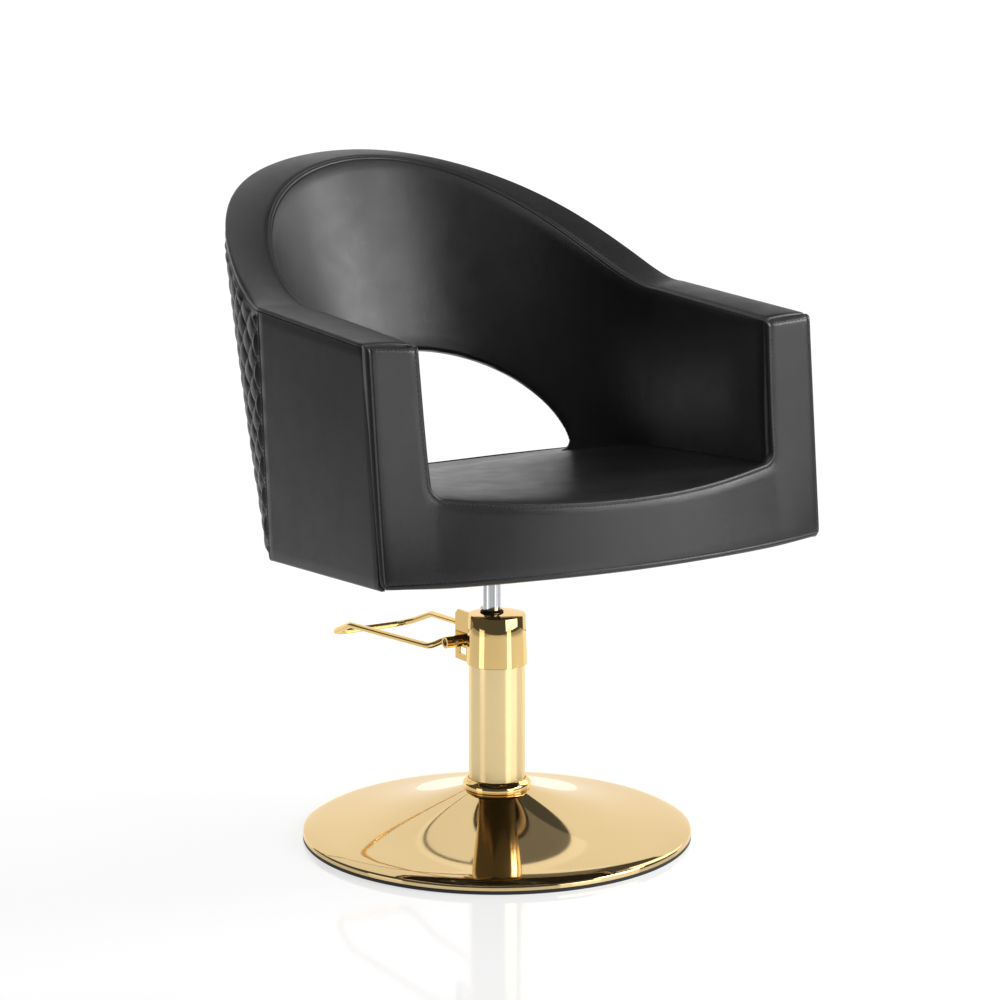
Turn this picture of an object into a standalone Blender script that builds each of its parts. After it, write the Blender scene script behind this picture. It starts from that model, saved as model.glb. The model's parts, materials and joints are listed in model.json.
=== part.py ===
# Hairdressing chair: a quilted tub seat that lifts and swivels on a hydraulic column.
# Metres, +Z up. The sitter faces -Y. The origin is on the floor, on the column's axis.

import math

import bmesh
import bpy
from mathutils import Vector

# Clearances
GAP = 0.0003            # between pieces that touch
SLIDE_GAP = 0.0004      # round a piece that slides or turns
BOW_GAP = 0.0009        # behind the bowed front panel
SHELL_GAP = 0.0008      # between the curved layers of the tub
BOARD_GAP = 0.0008      # round the seat board, in the leaning tub

# Round base
BASE_RADIUS = 0.275
BASE_SHEET = 0.002
RIM_TOP = 0.0155
RIM_ROUND = 0.006
TRUMPET_TOP = 0.054
TRUMPET_CURVE = 1.9
RUBBER_HEIGHT = 0.005
RUBBER_WIDTH = 0.014
PLATE_THICKNESS = 0.006
FLANGE_RADIUS = 0.075
FLANGE_THICKNESS = 0.008
FLANGE_BOLT_CIRCLE = 0.060
FLANGE_BOLT_COUNT = 4
BOLT_HEAD_RADIUS = 0.0075
BOLT_HEAD_HEIGHT = 0.0053

# Column and pump head
COLUMN_RADIUS = 0.040
COLUMN_WALL = 0.003
COLUMN_LENGTH = 0.2474
COLLAR_RADIUS = 0.052
COLLAR_HEIGHT = 0.022
COLLAR_CHAMFER = 0.007
SLEEVE_RADIUS = 0.0422
SLEEVE_WALL = 0.0034
SLEEVE_LAP = 0.0145
HEAD_HEIGHT = 0.0563
HEAD_TOP_THICKNESS = 0.008

# Lift: the rod stands a little off the column's axis, towards the pump lever
ROD_OFFSET = 0.0135
ROD_RADIUS = 0.0125
REST_LIFT = 0.060       # how far the seat stands above its lowest place
LIFT_END_CLEARANCE = 0.007
CYLINDER_WALL = 0.0015
PISTON_RADIUS = 0.0132
PISTON_LENGTH = 0.020
PISTON_FLOOR = 0.010
SEAL_WIDTH = 0.006
SEAL_DEPTH = 0.0026
SPIGOT_RADIUS = 0.004
SPIGOT_LENGTH = 0.018
BEARING_THICKNESS = 0.004
BUSH_WALL = 0.002
BUSH_LENGTH = 0.027
WIPER_HEIGHT = 0.0028
WIPER_WIDTH = 0.0036

# Pump lever
PIVOT_Y = 0.055
PIVOT_DROP = 0.0466     # below the top of the pump head
SHAFT_RADIUS = 0.005
BRACKET_HALF_WIDTH = 0.022
BRACKET_SHEET = 0.004
BRACKET_DEPTH = 0.0345
BRACKET_EAR = 0.009     # the cheeks' reach along the sides of the pump head
BRACKET_HEIGHT = 0.072
BRACKET_ABOVE_PIVOT = 0.042
BRACKET_CHAMFER = 0.011
BRACKET_WINDOW = (0.020, 0.010)  # depth and height of the window low in each cheek
BRACKET_WINDOW_DROP = 0.011
BRACKET_SCREW_RADIUS = 0.0045
BRACKET_SCREW_HEAD = 0.0035
BRACKET_SCREW_EDGE = 0.010
HUB_RADIUS = 0.0085
HUB_LENGTH = 0.030
SET_SCREW_RADIUS = 0.0028
SET_SCREW_LENGTH = 0.0032
LEVER_ROD_RADIUS = 0.0046
LEVER_REACH = 0.312     # from the pivot to the end bar
LEVER_HALF_WIDTH = 0.070
LEVER_DIP = 0.026       # how far the end bar lies below the legs
LEVER_DIP_LENGTH = 0.067
LEVER_SAG = 0.0195      # fall of the legs from the hubs to the dip
LEVER_BEND = 0.014
LEVER_ROOT_EDGE = 0.001
LEVER_BEND_RADIUS = 0.030

# Pump works inside the head
PLUNGER_X = 0.0110
PLUNGER_Y = 0.0298
PLUNGER_RADIUS = 0.0024
PLUNGER_COLLAR_RADIUS = 0.0040
PLUNGER_COLLAR_HEIGHT = 0.003
PLUNGER_DEPTH = 0.070
PLUNGER_TAIL = 0.014
BARREL_WALL = 0.0012
BARREL_BELOW_PIVOT = 0.018
ROCKER_HALF_WIDTH = 0.0054
ROCKER_HALF_HEIGHT = 0.003
ROCKER_OVERREACH = 0.0012
ROCKER_BOSS_RADIUS = 0.0088
SLOT_MARGIN = 0.0012
SLOT_BELOW = 0.010
SLOT_ABOVE = 0.018
SPRING_WIRE = 0.0005
SPRING_RADIUS = 0.0036
SPRING_TURN_COUNT = 7

# Seat plate
SOCKET_RADIUS = 0.022
SOCKET_LENGTH = 0.0546
SEAT_PLATE_SIZE = 0.200
SEAT_PLATE_THICKNESS = 0.006
SEAT_BOLT_EDGE = 0.025
CLAMP_SCREW_RADIUS = 0.005
CLAMP_SCREW_LENGTH = 0.012

# Upholstered tub
BODY_HALF = 0.345
PANEL = 0.012           # padded cover panels, front, sides and back
FRAME_SHEET = 0.012     # moulded ply
BOARD_THICKNESS = 0.018
DUST_COVER = 0.0015
PANEL_DROP = 0.005      # the front panel's bottom edge below the board
BOTTOM_FALL = 0.04      # the bottom edge falls this much per metre towards the back
FRONT_BOTTOM_Y = -0.343
FRONT_BOW = 0.059       # the front is bowed by this much at its bottom edge
FRONT_TOP_Y = -0.2525
ARM_HEIGHT = 0.3015     # above the front panel's bottom edge
ARM_RISE = 0.0208       # from the arm's front to the corner where the back starts
CORNER_TOP_Y = 0.0415
CORNER_BOTTOM_Y = 0.018
BACK_HEIGHT = 0.5058    # above the front panel's bottom edge
BACK_TOP_Y = 0.412
BACK_BOTTOM_Y = 0.245
BACK_PLAN_START = -0.150  # the outer oval is widest here, ahead of the corner
BACK_PLAN_POWER = 2.67
CORNER_TURN = 0.15      # share of the back's half outline that eases into the arm's straight side
BACK_RISE_POWER = 1.03
BACK_RISE_EASE = 0.056  # soft start of the rise from the arm's top
ARM_WIDTH_TOP = 0.0745
ARM_WIDTH_SEAT = 0.079
BACK_THICKNESS_TOP = 0.0545
BACK_THICKNESS_SEAT = 0.055
TOP_FALL = 0.0095       # the top band falls this much to its inner edge
INNER_PLAN_START = 0.0085
INNER_PLAN_POWER = 2.35
INNER_RISE_POWER = 0.98
INNER_RISE_EASE = 0.35
CAP = 0.012             # depth of the top band's border over the quilted back
ARM_CAP = 0.005         # and over the side panels
CAP_TURN = 0.1          # share of the back's half outline where the border widens
CAP_ROUND = 0.005
CAP_ROUND_SHARE = 0.5
SEAT_FRONT_HEIGHT = 0.0805  # seat edge above the front panel's bottom edge
SEAT_FALL = 0.045       # the seat falls this much per metre towards the back
SEAT_DISH = 0.42        # rise of the seat per metre squared towards the arms
SEAT_CROWN = 0.008
SEAT_CORNER_ROUND = 0.014
PAD_CROWN = 0.006
ARCH_START = 0.4        # share of the back's half outline where the arched hole ends
ARCH_HEIGHT = 0.1466
ARCH_FALL = 0.009       # fall of the hole's upper edge from the inside to the outside
LIP_FALL = 0.008        # fall of its lower edge
ARCH_CORNER = 0.0134
ARCH_POWER = 1.99
ARCH_ROUND = 0.711
QUILT_PUFF = 0.006
BACK_COLUMN_COUNT = 20       # half diamonds in each half of the back, and steps of its other layers
QUILT_LOW_ROW_COUNT = 2
QUILT_HIGH_ROW_COUNT = 11
ARM_COLUMN_COUNT = 3
SHELL_ROW_COUNT = 6

# Heights that follow from the sizes above
FLANGE_TOP = PLATE_THICKNESS + GAP + FLANGE_THICKNESS
COLUMN_BOTTOM = FLANGE_TOP + GAP
COLUMN_TOP = COLUMN_BOTTOM + COLUMN_LENGTH
SLEEVE_SHOULDER = COLUMN_TOP + GAP
HEAD_TOP = SLEEVE_SHOULDER + HEAD_HEIGHT
HEAD_CEILING = HEAD_TOP - HEAD_TOP_THICKNESS
PIVOT_Z = HEAD_TOP - PIVOT_DROP
BUSH_BOTTOM = HEAD_TOP - BUSH_LENGTH
BORE_RADIUS = PISTON_RADIUS + GAP
CYLINDER_RADIUS = BORE_RADIUS + CYLINDER_WALL
PISTON_BOTTOM = FLANGE_TOP + PISTON_FLOOR + REST_LIFT
PISTON_TOP = PISTON_BOTTOM + PISTON_LENGTH
ROD_BOTTOM = PISTON_TOP + BEARING_THICKNESS + 2 * GAP
SOCKET_BOTTOM = HEAD_TOP + LIFT_END_CLEARANCE + REST_LIFT
SEAT_PLATE_BOTTOM = SOCKET_BOTTOM + SOCKET_LENGTH
SEAT_PLATE_TOP = SEAT_PLATE_BOTTOM + SEAT_PLATE_THICKNESS
BOARD_BOTTOM = SEAT_PLATE_TOP + GAP
BOARD_TOP = BOARD_BOTTOM + BOARD_THICKNESS
BODY_BOTTOM = BOARD_BOTTOM - PANEL_DROP
ARM_FRONT_TOP = BODY_BOTTOM + ARM_HEIGHT
CORNER_TOP = ARM_FRONT_TOP + ARM_RISE
BACK_TOP = BODY_BOTTOM + BACK_HEIGHT
SEAT_FRONT_TOP = BODY_BOTTOM + SEAT_FRONT_HEIGHT

# Layers of the tub, counted inwards from its outer face
FRAME_INSET = PANEL + SHELL_GAP
PAD_INSET = FRAME_INSET + FRAME_SHEET + SHELL_GAP

# Collections and finishes

FINISHES = {
    "polished_gold": ((0.83, 0.58, 0.24), 1.0, 0.10),
    "satin_gold": ((0.85, 0.68, 0.40), 1.0, 0.28),
    "chrome": ((0.80, 0.81, 0.83), 1.0, 0.10),
    "zinc_steel": ((0.55, 0.56, 0.58), 1.0, 0.35),
    "black_steel": ((0.02, 0.02, 0.02), 0.6, 0.45),
    "bronze": ((0.60, 0.42, 0.22), 1.0, 0.35),
    "black_rubber": ((0.02, 0.02, 0.02), 0.0, 0.80),
    "black_leather": ((0.018, 0.018, 0.019), 0.0, 0.45),
    "birch_ply": ((0.62, 0.46, 0.29), 0.0, 0.65),
    "black_cloth": ((0.03, 0.03, 0.03), 0.0, 0.95),
}


def clear_scene():
    for obj in list(bpy.data.objects):
        bpy.data.objects.remove(obj, do_unlink=True)


def new_collection(name):
    collection = bpy.data.collections.new(name)
    bpy.context.scene.collection.children.link(collection)
    return collection


def make_finishes():
    made = {}
    for name, (colour, metallic, roughness) in FINISHES.items():
        material = bpy.data.materials.new(name)
        material.use_nodes = True
        shader = material.node_tree.nodes["Principled BSDF"]
        shader.inputs["Base Color"].default_value = (*colour, 1.0)
        shader.inputs["Metallic"].default_value = metallic
        shader.inputs["Roughness"].default_value = roughness
        made[name] = material
    return made


clear_scene()
CHAIR = new_collection("hairdressing_chair")
CUTTERS = new_collection("cutters")
MATERIALS = make_finishes()


def add_part(name, data, finish, parent=None):
    """Put a mesh or curve into the chair's collection as one named piece."""
    obj = bpy.data.objects.new(name, data)
    if not data.materials:
        data.materials.append(MATERIALS[finish])
    CHAIR.objects.link(obj)
    obj.parent = parent
    return obj


def add_pivot(name, location, parent=None):
    """Empty on a joint's axis, which carries the pieces that move with it."""
    pivot = bpy.data.objects.new(name, None)
    pivot.location = location
    pivot.parent = parent
    CHAIR.objects.link(pivot)
    return pivot


def add_cutter(name, data):
    cutter = bpy.data.objects.new(name, data)
    cutter.display_type = 'WIRE'
    cutter.hide_render = True
    CUTTERS.objects.link(cutter)
    return cutter


def boolean(obj, cutter, operation='DIFFERENCE'):
    modifier = obj.modifiers.new(cutter.name, 'BOOLEAN')
    modifier.object = cutter
    modifier.operation = operation
    modifier.solver = 'EXACT'


def bevel(obj, width, segments=1, angle=math.radians(35)):
    modifier = obj.modifiers.new("rounded edges", 'BEVEL')
    modifier.width = width
    modifier.segments = segments
    modifier.limit_method = 'ANGLE'
    modifier.angle_limit = angle


def smooth(mesh, angle=math.radians(40)):
    mesh.shade_smooth()
    mesh.set_sharp_from_angle(angle=angle)


# Shape makers

def to_mesh(name, bm):
    mesh = bpy.data.meshes.new(name)
    bm.to_mesh(mesh)
    bm.free()
    smooth(mesh)
    return mesh


def turned(name, profile, finish, closed=False, steps=32, centre=(0, 0), parent=None):
    """Turn a profile of (radius, height) pairs round a vertical axis."""
    edges = [(i, i + 1) for i in range(len(profile) - 1)]
    if closed:
        edges.append((len(profile) - 1, 0))
    origin = Vector((centre[0], centre[1], 0))
    if parent is not None:
        origin -= parent.matrix_world.translation
    mesh = bpy.data.meshes.new(name)
    mesh.from_pydata([(radius, 0, height) for radius, height in profile], edges, [])
    obj = add_part(name, mesh, finish, parent)
    obj.location = origin
    screw = obj.modifiers.new("turn", 'SCREW')
    screw.axis = 'Z'
    screw.steps = steps
    screw.render_steps = steps
    screw.use_merge_vertices = True
    screw.merge_threshold = 0.00001
    screw.use_smooth_shade = True
    return obj


def ring_profile(inner, outer, bottom, top):
    return [(inner, top), (outer, top), (outer, bottom), (inner, bottom)]


def disc_profile(radius, bottom, top):
    return [(0, top), (radius, top), (radius, bottom), (0, bottom)]


def box_mesh(name, low, high):
    bm = bmesh.new()
    bmesh.ops.create_cube(bm, size=1.0)
    size = Vector(high) - Vector(low)
    middle = (Vector(high) + Vector(low)) / 2
    bmesh.ops.scale(bm, vec=size, verts=bm.verts)
    bmesh.ops.translate(bm, vec=middle, verts=bm.verts)
    return to_mesh(name, bm)


def cylinder_into(bm, radius, start, end, segments=20):
    """Add a capped cylinder between two points to a bmesh."""
    start, end = Vector(start), Vector(end)
    run = end - start
    made = bmesh.ops.create_cone(bm, cap_ends=True, segments=segments, radius1=radius,
                                 radius2=radius, depth=run.length)
    turn = Vector((0, 0, 1)).rotation_difference(run).to_matrix()
    bmesh.ops.rotate(bm, cent=(0, 0, 0), matrix=turn, verts=made["verts"])
    bmesh.ops.translate(bm, vec=(start + end) / 2, verts=made["verts"])


def cylinder_mesh(name, radius, start, end, segments=20):
    bm = bmesh.new()
    cylinder_into(bm, radius, start, end, segments)
    return to_mesh(name, bm)


def tube_mesh(name, inner, outer, start, end, segments=20):
    """Sleeve between two points, with a through bore."""
    start, end = Vector(start), Vector(end)
    turn = Vector((0, 0, 1)).rotation_difference(end - start).to_matrix()
    bm = bmesh.new()
    rings = []
    for radius, foot in ((outer, start), (outer, end), (inner, end), (inner, start)):
        ring = []
        for step in range(segments):
            angle = 2 * math.pi * step / segments
            spoke = Vector((radius * math.cos(angle), radius * math.sin(angle), 0))
            ring.append(bm.verts.new(foot + turn @ spoke))
        rings.append(ring)
    for ring, above in zip(rings, rings[1:] + rings[:1]):
        for step in range(segments):
            after = (step + 1) % segments
            bm.faces.new((ring[step], ring[after], above[after], above[step]))
    bmesh.ops.recalc_face_normals(bm, faces=bm.faces)
    return to_mesh(name, bm)


def flat_curve(name, outlines, thickness):
    """Filled outline in its own XY plane, extruded evenly to both sides."""
    curve = bpy.data.curves.new(name, 'CURVE')
    curve.dimensions = '2D'
    curve.fill_mode = 'BOTH'
    curve.extrude = thickness / 2
    for outline in outlines:
        spline = curve.splines.new('POLY')
        spline.points.add(len(outline) - 1)
        for point, (x, y) in zip(spline.points, outline):
            point.co = (x, y, 0, 1)
        spline.use_cyclic_u = True
    return curve


def wire_curve(name, points, radius, resolution=2):
    curve = bpy.data.curves.new(name, 'CURVE')
    curve.dimensions = '3D'
    curve.bevel_depth = radius
    curve.bevel_resolution = resolution
    curve.use_fill_caps = True
    spline = curve.splines.new('POLY')
    spline.points.add(len(points) - 1)
    for point, place in zip(spline.points, points):
        point.co = (*place, 1)
    return curve


def rounded_path(points, radius, steps=4):
    """Open path through the points, with each bend rounded."""
    points = [Vector(point) for point in points]
    path = [points[0]]
    for before, corner, after in zip(points, points[1:], points[2:]):
        to_before = (before - corner).normalized()
        to_after = (after - corner).normalized()
        half = to_before.angle(to_after) / 2
        room = min((before - corner).length, (after - corner).length) * 0.45
        reach = min(radius / math.tan(half), room)
        start, end = corner + to_before * reach, corner + to_after * reach
        for step in range(steps + 1):
            share = step / steps
            path.append(start.lerp(corner, share).lerp(corner.lerp(end, share), share))
    path.append(points[-1])
    return path


def arc(centre, radius, start, end, steps):
    """Points of an arc in a plane, from one angle in degrees to another."""
    points = []
    for step in range(steps + 1):
        angle = math.radians(start + (end - start) * step / steps)
        points.append((centre[0] + radius * math.cos(angle), centre[1] + radius * math.sin(angle)))
    return points


def slab(name, near, far, columns, rows, is_open=None, diamonds=False):
    """Closed body between two grids of points, with the open cells left as holes.

    near(column, row) and far(column, row) give the points of the two faces, whose cells are
    all folded along the same diagonal, so that neighbouring layers stay clear of each other.
    With diamonds, the near face is folded along the diagonals of a quilted pattern.
    """
    bm = bmesh.new()
    grids = [[[bm.verts.new(face(column, row)) for row in range(rows)]
              for column in range(columns)] for face in (near, far)]
    cells = {(column, row) for column in range(columns - 1) for row in range(rows - 1)
             if is_open is None or not is_open(column, row)}
    for column, row in sorted(cells):
        corners = ((column, row), (column + 1, row), (column + 1, row + 1), (column, row + 1))
        for side, grid in enumerate(grids):
            ring = [grid[c][r] for c, r in corners]
            first = (column + row) % 2 if diamonds and side == 0 else 0
            for fold in ((first, first + 1, first + 2), (first, first + 2, (first + 3) % 4)):
                bm.faces.new([ring[corner] for corner in (fold if side == 0 else fold[::-1])])
        beside = ((column, row - 1), (column + 1, row), (column, row + 1), (column - 1, row))
        for index, cell in enumerate(beside):
            if cell not in cells:
                (c0, r0), (c1, r1) = corners[index], corners[(index + 1) % 4]
                bm.faces.new((grids[0][c1][r1], grids[0][c0][r0], grids[1][c0][r0], grids[1][c1][r1]))
    loose = [vert for vert in bm.verts if not vert.link_faces]
    bmesh.ops.delete(bm, geom=loose, context='VERTS')
    bmesh.ops.recalc_face_normals(bm, faces=bm.faces)
    return to_mesh(name, bm)


# Shape of the tub: every layer follows the same four curves

def mix(first, second, share):
    return tuple(a + (b - a) * share for a, b in zip(first, second))


def at_share(points, share):
    """Point at a share of the length of an open line."""
    lengths = [math.dist(p, q) for p, q in zip(points, points[1:])]
    left = share * sum(lengths)
    for p, q, length in zip(points, points[1:], lengths):
        if left <= length:
            return mix(p, q, left / length)
        left -= length
    return points[-1]


def quarter_oval(half_width, depth, power, start=0.0, steps=48):
    """Quarter of an oval from the side to the middle of the back."""
    first = math.asin((start / depth) ** (power / 2)) if start > 0 else 0.0
    points = []
    for step in range(steps + 1):
        angle = first + (math.pi / 2 - first) * step / steps
        across = max(0.0, math.cos(angle)) ** (2 / power)
        points.append((half_width * across, depth * math.sin(angle) ** (2 / power)))
    return points


def eased_rise(turn, ease, power):
    """Rise of the back's top edge from 0 to 1, with a soft start."""
    soft = (math.hypot(turn, ease) - ease) / (math.hypot(1, ease) - ease)
    return math.sin(math.pi / 2 * soft ** power)


def bottom_height(y):
    return BODY_BOTTOM - BOTTOM_FALL * (y - FRONT_BOTTOM_Y)


def seat_height(x, y):
    return SEAT_FRONT_TOP - SEAT_FALL * (y - FRONT_BOTTOM_Y) + SEAT_DISH * x * x


def front_face(x, z):
    """Outer face of the front panel: a bowed bottom edge, ruled up to straight arm tops."""
    bowed = FRONT_BOTTOM_Y + FRONT_BOW * (x / BODY_HALF) ** 2
    return bowed + (FRONT_TOP_Y - bowed) * (z - BODY_BOTTOM) / ARM_HEIGHT


def behind_front(x, z):
    return front_face(x, z) + PANEL + BOW_GAP


def outer_top(turn, inset):
    plan = quarter_oval(BODY_HALF - inset, BACK_TOP_Y - inset - BACK_PLAN_START,
                        BACK_PLAN_POWER, CORNER_TOP_Y - BACK_PLAN_START)
    x, y = at_share(plan, turn)
    x += (BODY_HALF - inset - plan[0][0]) * max(0.0, 1 - turn / CORNER_TURN) ** 2
    rise = eased_rise(turn, BACK_RISE_EASE, BACK_RISE_POWER)
    return (x, y + BACK_PLAN_START, CORNER_TOP + (BACK_TOP - CORNER_TOP) * rise)


def outer_bottom(turn, inset):
    half = BODY_HALF - inset
    depth = BACK_BOTTOM_Y - inset - CORNER_BOTTOM_Y
    radius = (half ** 2 + depth ** 2) / (2 * depth)
    centre_y = CORNER_BOTTOM_Y + depth - radius
    first = math.asin((CORNER_BOTTOM_Y - centre_y) / radius)
    angle = first + (math.pi / 2 - first) * turn
    y = centre_y + radius * math.sin(angle)
    return (radius * math.cos(angle), y, bottom_height(y))


def inner_top(turn):
    inner_y = BACK_TOP_Y - BACK_THICKNESS_TOP
    plan = quarter_oval(BODY_HALF - ARM_WIDTH_TOP, inner_y - INNER_PLAN_START, INNER_PLAN_POWER)
    x, y = at_share(plan, turn)
    low = CORNER_TOP - TOP_FALL / 2
    rise = eased_rise(turn, INNER_RISE_EASE, INNER_RISE_POWER)
    return (x, y + INNER_PLAN_START, low + (BACK_TOP - TOP_FALL - low) * rise)


def inner_seat(turn):
    depth = BACK_BOTTOM_Y - BACK_THICKNESS_SEAT
    x, y = at_share(quarter_oval(BODY_HALF - ARM_WIDTH_SEAT, depth, 2.0), turn)
    return (x, y, seat_height(x, y))


class Column:
    """One station along the tub, from an arm's front (arm 0) to the middle of the back (turn 1)."""

    def __init__(self, side, arm, turn):
        self.side = side
        self.arm = arm
        self.turn = turn

    def forward(self, x, y, z):
        """Draw a point of the corner forward along the arm, to lie behind the front panel."""
        return y if self.arm >= 1 else behind_front(x, z) + (y - behind_front(x, z)) * self.arm

    def arm_height(self, front, corner):
        return corner if self.arm >= 1 else front + (corner - front) * self.arm

    def top(self):
        return self.arm_height(ARM_FRONT_TOP, outer_top(self.turn, 0.0)[2])

    def cap(self):
        """Depth of the top band's border."""
        return ARM_CAP + (CAP - ARM_CAP) * min(1.0, self.turn / CAP_TURN)

    def bottom(self):
        x, y, z = outer_bottom(self.turn, 0.0)
        return bottom_height(self.forward(x, y, z))

    def outer(self, height, inset):
        """Point of a layer at a height, on the ruled line between bottom and top edges."""
        share = (height - self.bottom()) / (self.top() - self.bottom())
        x, y, z = mix(outer_bottom(self.turn, inset), outer_top(self.turn, inset), share)
        return (self.side * x, self.forward(x, y, height), height)

    def lip(self):
        """Height of the seat's edge."""
        x, y, z = inner_seat(self.turn)
        return seat_height(x, self.forward(x, y, seat_height(x, FRONT_BOTTOM_Y)))

    def seam(self):
        """Height of the top band's inner seam."""
        return self.arm_height(ARM_FRONT_TOP - TOP_FALL / 2, inner_top(self.turn)[2])

    def inner(self, share):
        """Point of the padding's inner face, from the seat (0) to the top seam (1)."""
        height = self.lip() + (self.seam() - self.lip()) * share
        x, y, z = mix(inner_seat(self.turn), inner_top(self.turn), share)
        swell = PAD_CROWN * math.sin(math.pi * min(1.0, max(0.0, share)))
        inward = Vector((x, max(y, 0.0), 0)).normalized() * swell
        x -= inward.x
        return (self.side * x, self.forward(x, y - inward.y, height), height)

    def foot(self):
        """Point of the padding's inner face on the seat board, straight below the seat's edge."""
        x, y, z = inner_seat(self.turn)
        return (self.side * x, self.forward(x, y, self.lip()), BOARD_TOP + GAP)

    def in_arch(self):
        return self.arm >= 1 and self.turn > ARCH_START + 1e-6

    def arch_rise(self):
        """Height of the arched hole's upper edge over its lower edge."""
        if not self.in_arch():
            return ARCH_CORNER
        apart = (1 - self.turn) / (1 - ARCH_START)
        return ARCH_CORNER + (ARCH_HEIGHT - ARCH_CORNER) * (1 - apart ** ARCH_POWER) ** ARCH_ROUND

    def arch_base(self):
        """The arch springs from one level, over the dished seat edge."""
        spring = inner_seat(ARCH_START)[2]
        return spring if self.in_arch() else self.lip()


def tub_columns(back_steps, arm_steps):
    """Stations from the front of one arm, round the back, to the front of the other."""
    half = [(step / arm_steps, 0.0) for step in range(arm_steps)]
    half += [(1.0, step / back_steps) for step in range(back_steps + 1)]
    one = [Column(-1, arm, turn) for arm, turn in half]
    other = [Column(1, arm, turn) for arm, turn in half[-2::-1]]
    return one + other


def arch_cells(columns, row):
    """Tells the cells of the arched hole: the row over the lip, between columns of the arch."""
    def is_open(column, cell_row):
        inside = columns[column].in_arch() or columns[column + 1].in_arch()
        return cell_row == row and inside
    return is_open


def plan_outline(height, inset, front_height, steps=BACK_COLUMN_COUNT):
    """Outline of the tub's plan at a height, inset from its outer face."""
    ring = [column.outer(height, inset)[:2] for column in tub_columns(steps, 1)]
    left, right = ring[0][0], ring[-1][0]
    count = 10
    for step in range(count + 1):
        x = right + (left - right) * step / count
        point = (x, behind_front(x, front_height))
        if step in (0, count):
            ring[-1 if step == 0 else 0] = point
        else:
            ring.append(point)
    return ring


# Base and column

def make_base():
    plate_radius = BASE_RADIUS - RUBBER_WIDTH - GAP
    turned("base_plate", disc_profile(plate_radius, 0, PLATE_THICKNESS), "zinc_steel", steps=40)
    turned("rubber_edge_trim", ring_profile(plate_radius + GAP, BASE_RADIUS, 0, RUBBER_HEIGHT),
           "black_rubber", closed=True, steps=40)

    inner = COLUMN_RADIUS + SLIDE_GAP
    rim_centre = (BASE_RADIUS - RIM_ROUND, RIM_TOP - RIM_ROUND)
    outside = []
    count = 8
    for step in range(count):
        share = step / count
        rise = (1 - share) ** TRUMPET_CURVE
        outside.append((inner + (rim_centre[0] - inner) * share,
                        RIM_TOP + (TRUMPET_TOP - RIM_TOP) * rise))
    outside += arc(rim_centre, RIM_ROUND, 90, 0, 3)
    outside.append((BASE_RADIUS, RUBBER_HEIGHT + GAP))
    inside = [(radius - BASE_SHEET * (step > count), height - BASE_SHEET * (step < count + 3))
              for step, (radius, height) in enumerate(outside)]
    inside[-1] = (BASE_RADIUS - BASE_SHEET, RUBBER_HEIGHT + GAP)
    turned("base_cover", outside + inside[::-1], "polished_gold", closed=True, steps=40)

    turned("pump_flange", disc_profile(FLANGE_RADIUS, PLATE_THICKNESS + GAP, FLANGE_TOP), "black_steel")
    head = cylinder_mesh("flange_bolt", BOLT_HEAD_RADIUS, (0, 0, 0), (0, 0, BOLT_HEAD_HEIGHT), 6)
    for step in range(FLANGE_BOLT_COUNT):
        angle = 2 * math.pi * (step + 0.5) / FLANGE_BOLT_COUNT
        bolt = add_part(f"flange_bolt_{step + 1}", head, "zinc_steel")
        bolt.location = (FLANGE_BOLT_CIRCLE * math.cos(angle), FLANGE_BOLT_CIRCLE * math.sin(angle),
                         FLANGE_TOP + GAP)

    collar_bottom = TRUMPET_TOP + GAP
    collar_inner = COLUMN_RADIUS + SLIDE_GAP
    collar = [(collar_inner + 0.0008, collar_bottom + COLLAR_HEIGHT),
              (COLLAR_RADIUS - 0.0012, collar_bottom + COLLAR_HEIGHT - COLLAR_CHAMFER + 0.001),
              (COLLAR_RADIUS, collar_bottom + COLLAR_HEIGHT - COLLAR_CHAMFER - 0.001),
              (COLLAR_RADIUS, collar_bottom + 0.004),
              (COLLAR_RADIUS - 0.003, collar_bottom),
              (collar_inner, collar_bottom),
              (collar_inner, collar_bottom + COLLAR_HEIGHT - 0.001)]
    turned("collar_ring", collar, "polished_gold", closed=True, steps=40)


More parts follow.
